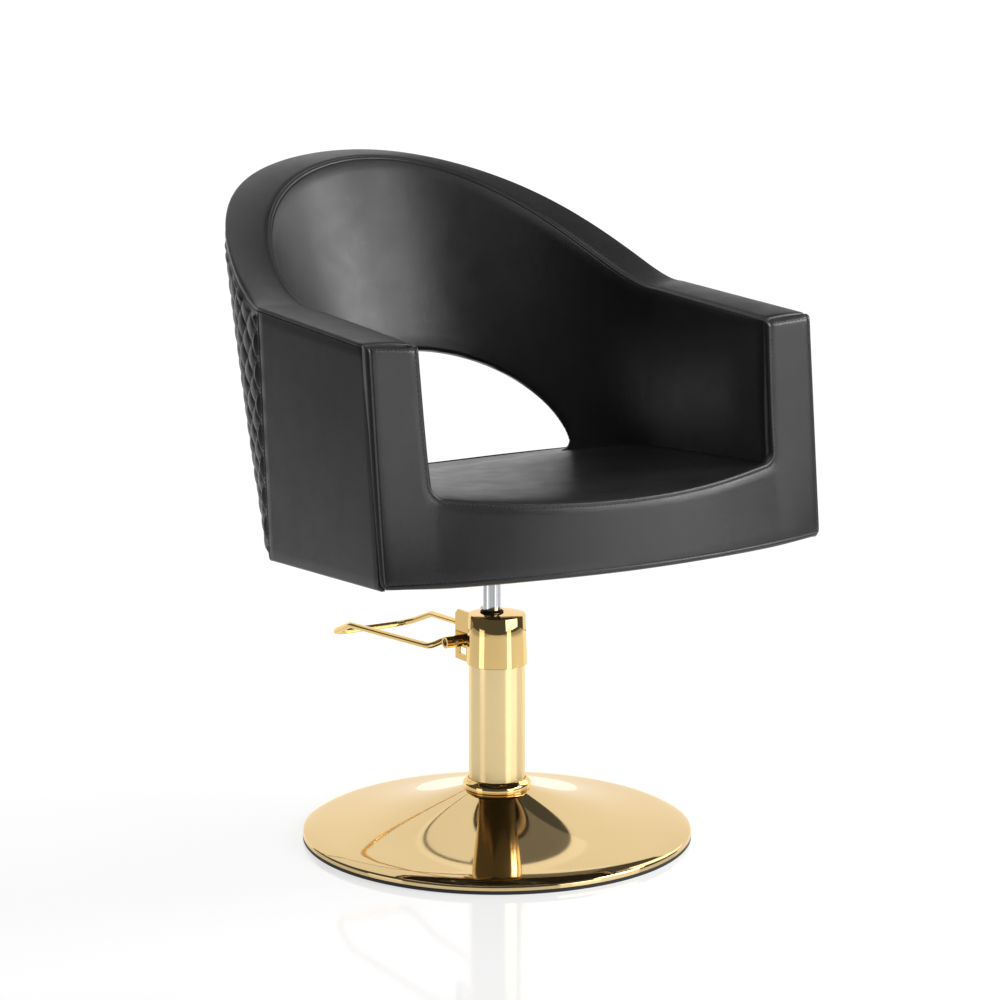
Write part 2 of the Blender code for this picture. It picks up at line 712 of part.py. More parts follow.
def make_column():
    turned("column_tube", ring_profile(COLUMN_RADIUS - COLUMN_WALL, COLUMN_RADIUS, COLUMN_BOTTOM, COLUMN_TOP),
           "satin_gold", closed=True, steps=40)
    sleeve_inner = SLEEVE_RADIUS - SLEEVE_WALL
    lap_inner = COLUMN_RADIUS + GAP
    profile = [(0, HEAD_TOP), (SLEEVE_RADIUS - 0.0006, HEAD_TOP), (SLEEVE_RADIUS, HEAD_TOP - 0.0006),
               (SLEEVE_RADIUS, COLUMN_TOP - SLEEVE_LAP), (lap_inner, COLUMN_TOP - SLEEVE_LAP),
               (lap_inner, SLEEVE_SHOULDER), (sleeve_inner, SLEEVE_SHOULDER),
               (sleeve_inner, HEAD_CEILING), (0, HEAD_CEILING)]
    sleeve = turned("pump_head_sleeve", profile, "polished_gold", steps=48)
    bush_outer = ROD_RADIUS + SLIDE_GAP + BUSH_WALL
    bore = add_cutter("rod_hole", cylinder_mesh("rod_hole", bush_outer + GAP, (0, ROD_OFFSET, HEAD_CEILING - 0.01),
                                                (0, ROD_OFFSET, HEAD_TOP + 0.01), 32))
    slot_low = (PLUNGER_X - ROCKER_HALF_WIDTH - SLOT_MARGIN, PLUNGER_Y, PIVOT_Z - SLOT_BELOW)
    slot_high = (PLUNGER_X + ROCKER_HALF_WIDTH + SLOT_MARGIN, PIVOT_Y, PIVOT_Z + SLOT_ABOVE)
    slot = add_cutter("rocker_slot", box_mesh("rocker_slot", slot_low, slot_high))
    boolean(sleeve, bore)
    boolean(sleeve, slot)

    rod_centre = (0, ROD_OFFSET)
    bush_inner = ROD_RADIUS + SLIDE_GAP
    turned("rod_guide_bush", ring_profile(bush_inner, bush_outer, BUSH_BOTTOM, HEAD_TOP), "bronze",
           closed=True, centre=rod_centre)
    wiper = [(bush_inner, HEAD_TOP + GAP + WIPER_HEIGHT), (bush_inner + 0.0012, HEAD_TOP + GAP + WIPER_HEIGHT),
             (bush_inner + WIPER_WIDTH, HEAD_TOP + GAP + 0.0008), (bush_inner + WIPER_WIDTH, HEAD_TOP + GAP),
             (bush_inner, HEAD_TOP + GAP)]
    turned("wiper_seal", wiper, "black_rubber", closed=True, centre=rod_centre)
    turned("pressure_cylinder", ring_profile(BORE_RADIUS, CYLINDER_RADIUS, COLUMN_BOTTOM, BUSH_BOTTOM - GAP),
           "zinc_steel", closed=True, centre=rod_centre)
    barrel_inner = PLUNGER_RADIUS + GAP
    turned("pump_barrel", ring_profile(barrel_inner, barrel_inner + BARREL_WALL, COLUMN_BOTTOM,
                                       PIVOT_Z - BARREL_BELOW_PIVOT),
           "zinc_steel", closed=True, steps=16, centre=(PLUNGER_X, PLUNGER_Y))


def make_bracket():
    """Channel with two cheeks on the back of the pump head, which carries the lever's shaft."""
    web_y = SLEEVE_RADIUS + GAP
    top = PIVOT_Z + BRACKET_ABOVE_PIVOT
    low = (-BRACKET_HALF_WIDTH, web_y - BRACKET_EAR, top - BRACKET_HEIGHT)
    high = (BRACKET_HALF_WIDTH, web_y + BRACKET_DEPTH, top)
    bracket = add_part("lever_bracket", box_mesh("lever_bracket", low, high), "polished_gold")
    inside = BRACKET_HALF_WIDTH - BRACKET_SHEET
    channel = box_mesh("channel", (-inside, web_y + BRACKET_SHEET, low[2] - 0.01),
                       (inside, high[1] + 0.01, top + 0.01))
    boolean(bracket, add_cutter("bracket_channel", channel))
    saddle = cylinder_mesh("saddle", web_y, (0, 0, low[2] - 0.01), (0, 0, top + 0.01), 48)
    boolean(bracket, add_cutter("bracket_saddle", saddle))
    depth, height = BRACKET_WINDOW
    window_top = PIVOT_Z - BRACKET_WINDOW_DROP
    window = box_mesh("window", (-BRACKET_HALF_WIDTH - 0.01, web_y + BRACKET_SHEET + 0.001, window_top - height),
                      (BRACKET_HALF_WIDTH + 0.01, web_y + BRACKET_SHEET + 0.001 + depth, window_top))
    boolean(bracket, add_cutter("bracket_window", window))
    slot_low = (PLUNGER_X - ROCKER_HALF_WIDTH - SLOT_MARGIN, web_y - 0.01, PIVOT_Z - SLOT_BELOW)
    slot_high = (PLUNGER_X + ROCKER_HALF_WIDTH + SLOT_MARGIN, PIVOT_Y, PIVOT_Z + SLOT_ABOVE)
    boolean(bracket, add_cutter("bracket_slot", box_mesh("bracket_slot", slot_low, slot_high)))
    across = BRACKET_HALF_WIDTH + 0.01
    hole = cylinder_mesh("shaft_hole", SHAFT_RADIUS + SLIDE_GAP, (-across, PIVOT_Y, PIVOT_Z),
                         (across, PIVOT_Y, PIVOT_Z))
    boolean(bracket, add_cutter("bracket_hole", hole))
    chamfer = box_mesh("chamfer", (-across, -BRACKET_CHAMFER, -BRACKET_CHAMFER),
                       (across, BRACKET_CHAMFER, BRACKET_CHAMFER))
    corner = add_cutter("bracket_chamfer", chamfer)
    corner.location = (0, high[1] + BRACKET_CHAMFER * (math.sqrt(2) - 1), top + BRACKET_CHAMFER * (math.sqrt(2) - 1))
    corner.rotation_euler = (math.radians(45), 0, 0)
    boolean(bracket, corner)

    head = cylinder_mesh("bracket_screw", BRACKET_SCREW_RADIUS, (0, 0, 0), (0, BRACKET_SCREW_HEAD, 0), 16)
    for name, z in (("upper", top - BRACKET_SCREW_EDGE), ("lower", low[2] + BRACKET_SCREW_EDGE)):
        screw = add_part(f"bracket_screw_{name}", head, "zinc_steel")
        screw.location = (0, web_y + BRACKET_SHEET + GAP, z)


# Lever, shaft and pump works

def make_lever():
    pivot = add_pivot("lever_pivot", (0, PIVOT_Y, PIVOT_Z))
    bpy.context.view_layer.update()
    home = pivot.matrix_world.translation

    hub_start = BRACKET_HALF_WIDTH + GAP
    hub_end = hub_start + HUB_LENGTH
    shaft = cylinder_mesh("lever_shaft", SHAFT_RADIUS, (-hub_end + 0.004, 0, 0), (hub_end - 0.004, 0, 0))
    add_part("lever_shaft", shaft, "zinc_steel", pivot)
    middle = (hub_start + hub_end) / 2
    screw_start = -SHAFT_RADIUS - GAP
    screw = cylinder_mesh("lever_set_screw", SET_SCREW_RADIUS, (0, screw_start, 0),
                          (0, screw_start - SET_SCREW_LENGTH, 0), 10)
    for side, hand in ((-1, "right"), (1, "left")):
        name = f"lever_hub_{hand}"
        mesh = tube_mesh(name, SHAFT_RADIUS + GAP, HUB_RADIUS, (side * hub_start, 0, 0), (side * hub_end, 0, 0), 24)
        hub = add_part(name, mesh, "polished_gold", pivot)
        seat = (side * middle, -HUB_RADIUS - 0.002, 0)
        hole_end = (side * middle, -SHAFT_RADIUS, 0)
        hole = add_cutter(name + "_hole", cylinder_mesh("hole", SET_SCREW_RADIUS + GAP, seat, hole_end, 12))
        hole.parent = pivot
        boolean(hub, hole)
        add_part(f"lever_set_screw_{hand}", screw, "zinc_steel", pivot).location.x = side * middle

    root_x = hub_end - LEVER_ROD_RADIUS - LEVER_ROOT_EDGE
    root_y = HUB_RADIUS + GAP
    end_y, end_z = LEVER_REACH, -LEVER_SAG - LEVER_DIP
    dip_y = LEVER_REACH - LEVER_DIP_LENGTH
    half = [(root_x, root_y, 0), (root_x, root_y + LEVER_ROD_RADIUS, 0),
            (root_x + LEVER_BEND, root_y + LEVER_ROD_RADIUS + LEVER_BEND, -LEVER_SAG / 2),
            (LEVER_HALF_WIDTH, dip_y, -LEVER_SAG), (LEVER_HALF_WIDTH - 0.004, end_y, end_z)]
    points = [(-x, y, z) for x, y, z in half] + half[::-1]
    route = rounded_path(points, LEVER_BEND_RADIUS)
    add_part("foot_lever", wire_curve("foot_lever", route, LEVER_ROD_RADIUS), "polished_gold", pivot)

    reach_y = PLUNGER_Y - ROCKER_OVERREACH - home.y
    low = (PLUNGER_X - ROCKER_HALF_WIDTH, reach_y, -ROCKER_HALF_HEIGHT)
    high = (PLUNGER_X + ROCKER_HALF_WIDTH, 0, ROCKER_HALF_HEIGHT)
    rocker = add_part("pump_rocker", box_mesh("pump_rocker", low, high), "black_steel", pivot)
    boss = cylinder_mesh("boss", ROCKER_BOSS_RADIUS, (low[0], 0, 0), (high[0], 0, 0))
    stem = PLUNGER_RADIUS + SLIDE_GAP
    fork = box_mesh("fork", (PLUNGER_X - stem, reach_y - 0.01, -0.02),
                    (PLUNGER_X + stem, PLUNGER_Y - home.y + PLUNGER_COLLAR_RADIUS, 0.02))
    bore = cylinder_mesh("bore", SHAFT_RADIUS + GAP, (low[0] - 0.01, 0, 0), (high[0] + 0.01, 0, 0))
    for name, mesh, operation in (("rocker_boss", boss, 'UNION'), ("rocker_fork", fork, 'DIFFERENCE'),
                                  ("rocker_bore", bore, 'DIFFERENCE')):
        cutter = add_cutter(name, mesh)
        cutter.parent = pivot
        boolean(rocker, cutter, operation)


def make_plunger():
    collar_bottom = PIVOT_Z + ROCKER_HALF_HEIGHT + GAP
    collar_top = collar_bottom + PLUNGER_COLLAR_HEIGHT
    profile = [(0, collar_top + PLUNGER_TAIL), (PLUNGER_RADIUS, collar_top + PLUNGER_TAIL),
               (PLUNGER_RADIUS, collar_top), (PLUNGER_COLLAR_RADIUS, collar_top),
               (PLUNGER_COLLAR_RADIUS, collar_bottom), (PLUNGER_RADIUS, collar_bottom),
               (PLUNGER_RADIUS, collar_bottom - PLUNGER_DEPTH), (0, collar_bottom - PLUNGER_DEPTH)]
    centre = (PLUNGER_X, PLUNGER_Y)
    turned("pump_plunger", profile, "zinc_steel", steps=16, centre=centre)
    bottom = collar_top + GAP + SPRING_WIRE
    top = HEAD_CEILING - GAP - SPRING_WIRE
    points_per_turn = 8
    count = SPRING_TURN_COUNT * points_per_turn
    coil = []
    for step in range(count + 1):
        angle = 2 * math.pi * step / points_per_turn
        coil.append((PLUNGER_X + SPRING_RADIUS * math.cos(angle), PLUNGER_Y + SPRING_RADIUS * math.sin(angle),
                     bottom + (top - bottom) * step / count))
    add_part("plunger_spring", wire_curve("plunger_spring", coil, SPRING_WIRE, 0), "zinc_steel")


# Piston, rod and seat plate

def make_lift():
    centre = (0, ROD_OFFSET)
    groove_bottom = PISTON_BOTTOM + (PISTON_LENGTH - SEAL_WIDTH) / 2
    groove_top = groove_bottom + SEAL_WIDTH
    groove_radius = PISTON_RADIUS - SEAL_DEPTH
    hole = SPIGOT_RADIUS + SLIDE_GAP
    floor = PISTON_TOP - SPIGOT_LENGTH + BEARING_THICKNESS
    head = [(hole, PISTON_TOP), (PISTON_RADIUS, PISTON_TOP), (PISTON_RADIUS, groove_top),
            (groove_radius, groove_top), (groove_radius, groove_bottom), (PISTON_RADIUS, groove_bottom),
            (PISTON_RADIUS, PISTON_BOTTOM), (0, PISTON_BOTTOM)]
    head = [(0, floor), (hole, floor)] + head
    turned("piston_head", head, "zinc_steel", centre=centre, steps=24)
    seal = ring_profile(groove_radius + GAP, PISTON_RADIUS + GAP / 2, groove_bottom + GAP, groove_top - GAP)
    turned("piston_seal", seal, "black_rubber", closed=True, centre=centre, steps=24)
    bearing = ring_profile(hole, PISTON_RADIUS - 0.0012, PISTON_TOP + GAP, PISTON_TOP + GAP + BEARING_THICKNESS)
    turned("thrust_bearing", bearing, "bronze", closed=True, centre=centre, steps=24)

    swivel = add_pivot("swivel_axis", (0, ROD_OFFSET, 0))
    bpy.context.view_layer.update()
    rod_top = SEAT_PLATE_BOTTOM - GAP
    spigot_bottom = floor + GAP
    rod = [(0, rod_top), (ROD_RADIUS, rod_top), (ROD_RADIUS, ROD_BOTTOM), (SPIGOT_RADIUS, ROD_BOTTOM),
           (SPIGOT_RADIUS, spigot_bottom), (0, spigot_bottom)]
    turned("piston_rod", rod, "chrome", centre=centre, parent=swivel)
    return swivel


def make_seat_plate(swivel):
    half = SEAT_PLATE_SIZE / 2
    plate = add_part("seat_plate", box_mesh("seat_plate", (-half, -half, SEAT_PLATE_BOTTOM),
                                            (half, half, SEAT_PLATE_TOP)), "black_steel", swivel)
    socket = add_cutter("socket", cylinder_mesh("socket", SOCKET_RADIUS, (0, 0, SOCKET_BOTTOM),
                                                (0, 0, SEAT_PLATE_BOTTOM + SEAT_PLATE_THICKNESS / 2), 32))
    rib_half = SEAT_PLATE_THICKNESS / 2
    ribs = bmesh.new()
    for turn in (0, 90):
        made = bmesh.ops.create_cube(ribs, size=1.0)
        bmesh.ops.scale(ribs, vec=(SOCKET_RADIUS * 6, rib_half * 2, SOCKET_LENGTH / 2), verts=made["verts"])
        bmesh.ops.rotate(ribs, cent=(0, 0, 0), verts=made["verts"],
                         matrix=Vector((1, 0, 0)).rotation_difference(
                             Vector((math.cos(math.radians(turn + 45)), math.sin(math.radians(turn + 45)), 0))
                         ).to_matrix())
        bmesh.ops.translate(ribs, vec=(0, 0, SEAT_PLATE_BOTTOM - SOCKET_LENGTH / 4 + rib_half / 2),
                            verts=made["verts"])
    rib = add_cutter("socket_ribs", to_mesh("socket_ribs", ribs))
    bore = add_cutter("socket_bore", cylinder_mesh("socket_bore", ROD_RADIUS + GAP, (0, 0, SOCKET_BOTTOM - 0.01),
                                                   (0, 0, SEAT_PLATE_BOTTOM), 32))
    screw_z = SOCKET_BOTTOM + SOCKET_LENGTH * 0.3
    hole = add_cutter("clamp_hole", cylinder_mesh("clamp_hole", CLAMP_SCREW_RADIUS + GAP, (0, ROD_RADIUS, screw_z),
                                                  (0, SOCKET_RADIUS + 0.02, screw_z), 12))
    for cutter, operation in ((socket, 'UNION'), (rib, 'UNION'), (bore, 'DIFFERENCE'), (hole, 'DIFFERENCE')):
        cutter.parent = swivel
        boolean(plate, cutter, operation)
    screw_start = ROD_RADIUS + GAP
    screw = cylinder_mesh("socket_clamp_screw", CLAMP_SCREW_RADIUS, (0, screw_start, screw_z),
                          (0, screw_start + CLAMP_SCREW_LENGTH, screw_z), 12)
    add_part("socket_clamp_screw", screw, "zinc_steel", swivel)

    reach = SEAT_PLATE_SIZE / 2 - SEAT_BOLT_EDGE
    head = cylinder_mesh("seat_plate_bolt", BOLT_HEAD_RADIUS, (0, 0, -BOLT_HEAD_HEIGHT), (0, 0, 0), 6)
    for index, (x, y) in enumerate(((-reach, -reach), (reach, -reach), (reach, reach), (-reach, reach))):
        bolt = add_part(f"seat_plate_bolt_{index + 1}", head, "zinc_steel", swivel)
        bolt.location = (x, y, SEAT_PLATE_BOTTOM - GAP)


# Upholstery

def place(obj, swivel):
    """Keep a piece that was drawn in the chair's frame in place under the swivel axis."""
    obj.parent = swivel
    obj.location = Vector(obj.location) - swivel.matrix_world.translation


def make_board(swivel):
    outline = plan_outline(BOARD_BOTTOM, PAD_INSET + BOARD_GAP, BOARD_TOP)
    board = add_part("seat_board", flat_curve("seat_board", [outline], BOARD_THICKNESS), "birch_ply")
    board.location.z = BOARD_BOTTOM + BOARD_THICKNESS / 2
    place(board, swivel)

    cover_top = BOARD_BOTTOM - GAP
    half = SEAT_PLATE_SIZE / 2 + 0.004
    window = [(-half, ROD_OFFSET - half), (-half, ROD_OFFSET + half), (half, ROD_OFFSET + half),
              (half, ROD_OFFSET - half)]
    sheet = plan_outline(cover_top - DUST_COVER, PAD_INSET + BOARD_GAP, cover_top)
    cover = add_part("underside_cover", flat_curve("underside_cover", [sheet, window], DUST_COVER), "black_cloth")
    cover.location.z = cover_top - DUST_COVER / 2
    place(cover, swivel)


def make_shells(swivel):
    """Moulded ply frame and the padding inside it, both pierced by the arched hole."""
    columns = tub_columns(BACK_COLUMN_COUNT, ARM_COLUMN_COUNT)
    count = len(columns)

    def layer_height(column, row, top):
        """Heights of an outer layer's rows: bottom, lip, arch, then even steps to the top."""
        lip = column.lip() - LIP_FALL
        arch = column.arch_base() + column.arch_rise() - ARCH_FALL
        if row < 2:
            return (column.bottom(), lip)[row]
        return arch + (top - arch) * (row - 2) / (SHELL_ROW_COUNT - 2)

    def frame_face(inset):
        def point(index, row):
            column = columns[index]
            height = layer_height(column, row, column.top() - column.cap() - SHELL_GAP)
            return column.outer(height, inset)
        return point

    frame = slab("tub_frame", frame_face(FRAME_INSET), frame_face(FRAME_INSET + FRAME_SHEET), count,
                 SHELL_ROW_COUNT + 1, arch_cells(columns, 1))
    place(add_part("tub_frame", frame, "birch_ply"), swivel)

    cap_rows = 3
    rows = SHELL_ROW_COUNT + 1 + cap_rows

    def pad_inner(index, row):
        column = columns[index]
        if row == 0:
            return column.foot()
        if row == 1:
            return column.inner(0.0)
        rise = column.seam() - column.lip()
        arch = (column.arch_base() + column.arch_rise() - column.lip()) / rise
        border = min(0.97, max(0.90, (column.top() - column.cap() - column.lip()) / rise))
        if row <= SHELL_ROW_COUNT:
            return column.inner(arch + (border - arch) * (row - 2) / (SHELL_ROW_COUNT - 2))
        if row < rows - 1:
            return column.inner(border + (1 - border) * (row - SHELL_ROW_COUNT) / cap_rows)
        edge = column.inner(1.0)
        outside = column.outer(column.top(), CAP_ROUND)
        return mix(edge, outside, CAP_ROUND / ARM_WIDTH_TOP)

    def pad_outer(index, row):
        column = columns[index]
        under_cap = column.top() - column.cap()
        if row == 0:
            return column.outer(BOARD_TOP + GAP, PAD_INSET + BOARD_GAP)
        if row <= SHELL_ROW_COUNT:
            return column.outer(layer_height(column, row, under_cap), PAD_INSET)
        inset, height = ((0.0, under_cap), (0.0, column.top() - column.cap() * CAP_ROUND_SHARE),
                         (CAP_ROUND, column.top()))[row - SHELL_ROW_COUNT - 1]
        return column.outer(height, inset)

    padding = slab("back_and_arm_padding", pad_inner, pad_outer, count, rows, arch_cells(columns, 1))
    place(add_part("back_and_arm_padding", padding, "black_leather"), swivel)


def make_back_cover(swivel):
    """Quilted outer back: diamonds that stand proud between their stitch lines."""
    columns = tub_columns(BACK_COLUMN_COUNT, 1)[1:-1]
    rows = QUILT_LOW_ROW_COUNT + QUILT_HIGH_ROW_COUNT + 2
    arch_row = QUILT_LOW_ROW_COUNT

    def height(column, row):
        lip = column.lip() - LIP_FALL
        if row <= arch_row:
            return column.bottom() + (lip - column.bottom()) * row / arch_row
        arch = column.arch_base() + column.arch_rise() - ARCH_FALL
        top = column.top() - column.cap() - SHELL_GAP
        return arch + (top - arch) * (row - arch_row - 1) / QUILT_HIGH_ROW_COUNT

    def outside(index, row):
        on_edge = index in (0, len(columns) - 1) or row in (0, arch_row, arch_row + 1, rows - 1)
        from_corner = abs(columns[index].turn - ARCH_START) * BACK_COLUMN_COUNT
        by_corner = from_corner < 1.5 and arch_row < row < arch_row + 4
        puffed = (index + row) % 2 == 1 and not on_edge and not by_corner
        return columns[index].outer(height(columns[index], row), -QUILT_PUFF if puffed else 0.0)

    def inside(index, row):
        return columns[index].outer(height(columns[index], row), PANEL)

    cover = slab("quilted_back_cover", outside, inside, len(columns), rows,
                 arch_cells(columns, arch_row), diamonds=True)
    place(add_part("quilted_back_cover", cover, "black_leather"), swivel)


def make_side_panels(swivel):
    """Flat padded panels between the front panel and the quilted back."""
    x = BODY_HALF
    top_front_z = ARM_FRONT_TOP - ARM_CAP - SHELL_GAP
    top_rear_z = CORNER_TOP - ARM_CAP - SHELL_GAP
    front_bottom = behind_front(x, BODY_BOTTOM)
    corner = Column(1, 1.0, 0.0)
    rear_top = corner.outer(top_rear_z, 0.0)[1] - GAP
    rear_low = corner.outer(corner.bottom(), 0.0)[1] - GAP
    outline = [(behind_front(x, top_front_z), top_front_z), (front_bottom, bottom_height(front_bottom)),
               (rear_low, corner.bottom()), (rear_top, top_rear_z)]
    for side, name in ((-1, "side_panel_right"), (1, "side_panel_left")):
        panel = add_part(name, flat_curve(name, [outline], PANEL), "black_leather")
        panel.rotation_euler = (math.radians(90), 0, math.radians(90))
        panel.location.x = side * (BODY_HALF - PANEL / 2)
        place(panel, swivel)


def make_front_panel(swivel):
    """Arm fronts and apron in one bowed panel."""
    inner_low = BODY_HALF - ARM_WIDTH_SEAT
    inner_high = BODY_HALF - ARM_WIDTH_TOP
    fillet = SEAT_CORNER_ROUND
    arm_steps = 3
    half = [(BODY_HALF - ARM_WIDTH_SEAT * step / arm_steps, fillet) for step in range(arm_steps)]
    for step in range(4):
        angle = math.pi / 2 * (1 - step / 3)
        half.append((inner_low - fillet + fillet * math.sin(angle), fillet * (1 - math.cos(angle))))
    apron_steps = 8
    start = half[-1][0]
    half += [(start * (1 - step / apron_steps), 0.0) for step in range(1, apron_steps + 1)]
    stations = [(-x, lift) for x, lift in half] + [(x, lift) for x, lift in half[-2::-1]]
    low_rows = 5
    rows = low_rows + 4
    last_arm = arm_steps

    def on_arm(index):
        return min(index, len(stations) - 1 - index) <= last_arm

    def point(index, row, depth):
        x, lift = stations[index]
        edge = SEAT_FRONT_TOP + SEAT_DISH * min(abs(x), inner_low) ** 2 + lift
        side = math.copysign(1, x)
        if row < low_rows:
            z = BODY_BOTTOM + (edge - BODY_BOTTOM) * row / (low_rows - 1)
        else:
            share = (row - low_rows + 1) / (rows - low_rows)
            z = edge + (ARM_FRONT_TOP - edge) * share
            across = (abs(x) - inner_low) / ARM_WIDTH_SEAT
            widened = inner_high + (BODY_HALF - inner_high) * across
            x = side * (abs(x) + (widened - abs(x)) * share)
        return (x, front_face(x, z) + depth, z)

    def is_open(column, row):
        return row >= low_rows - 1 and not (on_arm(column) and on_arm(column + 1))

    mesh = slab("front_panel", lambda c, r: point(c, r, 0.0), lambda c, r: point(c, r, PANEL),
                len(stations), rows, is_open)
    panel = add_part("front_panel", mesh, "black_leather")
    bevel(panel, 0.003)
    place(panel, swivel)


def make_seat_cushion(swivel):
    """Loose cushion in the tub: dished to the arms, crowned, with drawn-in edges."""
    half = BODY_HALF - ARM_WIDTH_SEAT - GAP
    depth = BACK_BOTTOM_Y - BACK_THICKNESS_SEAT - GAP
    columns, rows = 19, 15

    def plan(column, row):
        angle = -math.pi / 2 + math.pi * column / (columns - 1)
        x = half * math.sin(angle)
        front = behind_front(x, SEAT_FRONT_TOP + SEAT_DISH * x * x)
        rear = depth * math.cos(angle)
        return x, front + (rear - front) * row / (rows - 1)

    def upper(column, row):
        x, y = plan(column, row)
        across = 1 - abs(2 * column / (columns - 1) - 1) ** 6
        along = 1 - abs(2 * row / (rows - 1) - 1) ** 6
        crown = SEAT_CROWN * across * along - SEAT_CROWN / 4
        return (x, y, seat_height(x, y) + crown)

    def lower(column, row):
        x, y = plan(column, row)
        return (x, y, BOARD_TOP + GAP)

    mesh = slab("seat_cushion", upper, lower, columns, rows)
    place(add_part("seat_cushion", mesh, "black_leather"), swivel)


def main():
    make_base()
    make_column()
    make_bracket()
    make_lever()
    make_plunger()
    swivel = make_lift()
    make_seat_plate(swivel)
    make_board(swivel)
    make_shells(swivel)
    make_back_cover(swivel)
    make_side_panels(swivel)
    make_front_panel(swivel)
    make_seat_cushion(swivel)


main()
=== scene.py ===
import json
import math

import bmesh
import bpy
import numpy as np
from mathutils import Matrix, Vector


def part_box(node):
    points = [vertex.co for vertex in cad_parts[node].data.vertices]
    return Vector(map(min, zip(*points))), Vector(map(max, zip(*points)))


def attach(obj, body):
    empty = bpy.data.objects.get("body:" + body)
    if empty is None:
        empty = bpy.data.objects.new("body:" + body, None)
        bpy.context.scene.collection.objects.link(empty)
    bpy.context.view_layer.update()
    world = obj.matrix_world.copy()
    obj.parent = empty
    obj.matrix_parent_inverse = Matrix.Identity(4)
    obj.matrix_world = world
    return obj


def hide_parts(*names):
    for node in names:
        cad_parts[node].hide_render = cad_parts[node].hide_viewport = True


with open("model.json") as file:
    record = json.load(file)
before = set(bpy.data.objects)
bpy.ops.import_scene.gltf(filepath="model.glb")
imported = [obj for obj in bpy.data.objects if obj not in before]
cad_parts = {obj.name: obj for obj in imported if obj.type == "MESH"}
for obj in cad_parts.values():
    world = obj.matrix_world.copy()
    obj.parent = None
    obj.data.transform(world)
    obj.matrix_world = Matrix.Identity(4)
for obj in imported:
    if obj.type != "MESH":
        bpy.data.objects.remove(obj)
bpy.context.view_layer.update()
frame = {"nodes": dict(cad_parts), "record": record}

# Sizes of the tub, as in the part's source, in metres
BODY_HALF = 0.345
BODY_BOTTOM = 0.4415
BOARD_TOP = 0.4645
BOTTOM_FALL = 0.04
FRONT_BOTTOM_Y = -0.343
FRONT_BOW = 0.059
FRONT_TOP_Y = -0.2525
ARM_HEIGHT = 0.3015
ARM_FRONT_TOP = BODY_BOTTOM + ARM_HEIGHT
CORNER_TOP = ARM_FRONT_TOP + 0.0208
CORNER_TOP_Y = 0.0415
CORNER_BOTTOM_Y = 0.018
BACK_TOP = BODY_BOTTOM + 0.5058
BACK_TOP_Y = 0.412
BACK_BOTTOM_Y = 0.245
BACK_PLAN_START = -0.150
BACK_PLAN_POWER = 2.67
CORNER_TURN = 0.15
BACK_RISE_POWER = 1.03
BACK_RISE_EASE = 0.056
ARM_WIDTH_TOP = 0.0745
ARM_WIDTH_SEAT = 0.079
BACK_THICKNESS_TOP = 0.0545
BACK_THICKNESS_SEAT = 0.055
TOP_FALL = 0.0095
INNER_PLAN_START = 0.0085
INNER_PLAN_POWER = 2.35
INNER_RISE_POWER = 0.98
INNER_RISE_EASE = 0.35
CAP = 0.012
ARM_CAP = 0.005
CAP_TURN = 0.1
SEAT_EDGE = BODY_BOTTOM + 0.0805
SEAT_FALL = 0.045
SEAT_DISH = 0.42
SEAT_CROWN = 0.008
SEAT_CORNER_ROUND = 0.014
PAD_CROWN = 0.006
ARCH_START = 0.4
ARCH_HEIGHT = 0.1466
ARCH_FALL = 0.009
ARCH_CORNER = 0.0134
ARCH_POWER = 1.99
ARCH_ROUND = 0.711
FRAME_INSET = 0.0128
FRAME_SHEET = 0.012

# Finer sizes of the upholstery
BACK_RUN = 0.50         # developed length of half the back, at mid height
ARM_RUN = 0.31          # developed length of an arm
HOLE_CORNER = 0.036     # share of the back's half outline taken by the hole's round lower corner
STITCH_PITCH = 0.006
STITCH_LENGTH = 0.0042
STITCH_OFFSET = 0.0065  # stitch lines from the edges of the panels
DIAMOND = 0.0408        # both diagonals of the quilted diamonds
QUILT_PUFF = 0.0042
OUTER_SEAM_DEPTH = 0.0045   # seam of front and side panels, behind the front face
INNER_SEAM_DEPTH = 0.0065
COVER_FULL_TOP = 0.004      # the outer shell swells by this much at its top edge
COVER_FULL_MIDDLE = 0.0075  # and by this much more at half height
FRAME_SETBACK = 0.014   # the ply stops this far from the hole's edge
SIDE_GAP = 0.0022       # groove between the side panels and the front panel
SIDE_CORNER = 0.010     # round upper front corner of the side panels
SWELL_FADE = 0.08       # the padding's swell fades over this length at the arms' fronts
ARM_FACE_FADE = 2.5     # the front's bow dies away this much faster up the arms than in the middle
ARM_FACE_PLACE = 0.267
FRONT_LIFT = 0.0093     # the seat's front edge is fuller than the dish, in the middle
FRONT_LIFT_HALF = 0.25
FRONT_LIFT_DEPTH = 0.40
TUB_MIDDLE = np.array((0, 0, 0.65))
SEW_GAP = 0.0006        # between the cover and the top band
QUILT_STEP = 0.0025     # mesh of the quilting
BAND_DEPTH = 0.012      # the top band starts this far behind the front face
ROD_OFFSET = 0.0135     # the rod stands this far behind the column's axis
FAR = 1.0               # a distance to an edge that doesn't count


# Helpers for meshes

def finish_mesh(name, points, faces, material, body, replaced=()):
    """New piece from points and faces, smooth, on a body, in a given material."""
    mesh = bpy.data.meshes.new(name)
    mesh.from_pydata([tuple(map(float, p)) for p in points], [], [tuple(int(i) for i in f) for f in faces])
    bm = bmesh.new()
    bm.from_mesh(mesh)
    bmesh.ops.remove_doubles(bm, verts=bm.verts, dist=1e-6)
    bmesh.ops.recalc_face_normals(bm, faces=bm.faces)
    bm.to_mesh(mesh)
    bm.free()
    mesh.shade_smooth()
    piece = bpy.data.objects.new(name, mesh)
    bpy.context.scene.collection.objects.link(piece)
    mesh.materials.append(material)
    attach(piece, body)
    if replaced:
        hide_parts(*replaced)
    return piece


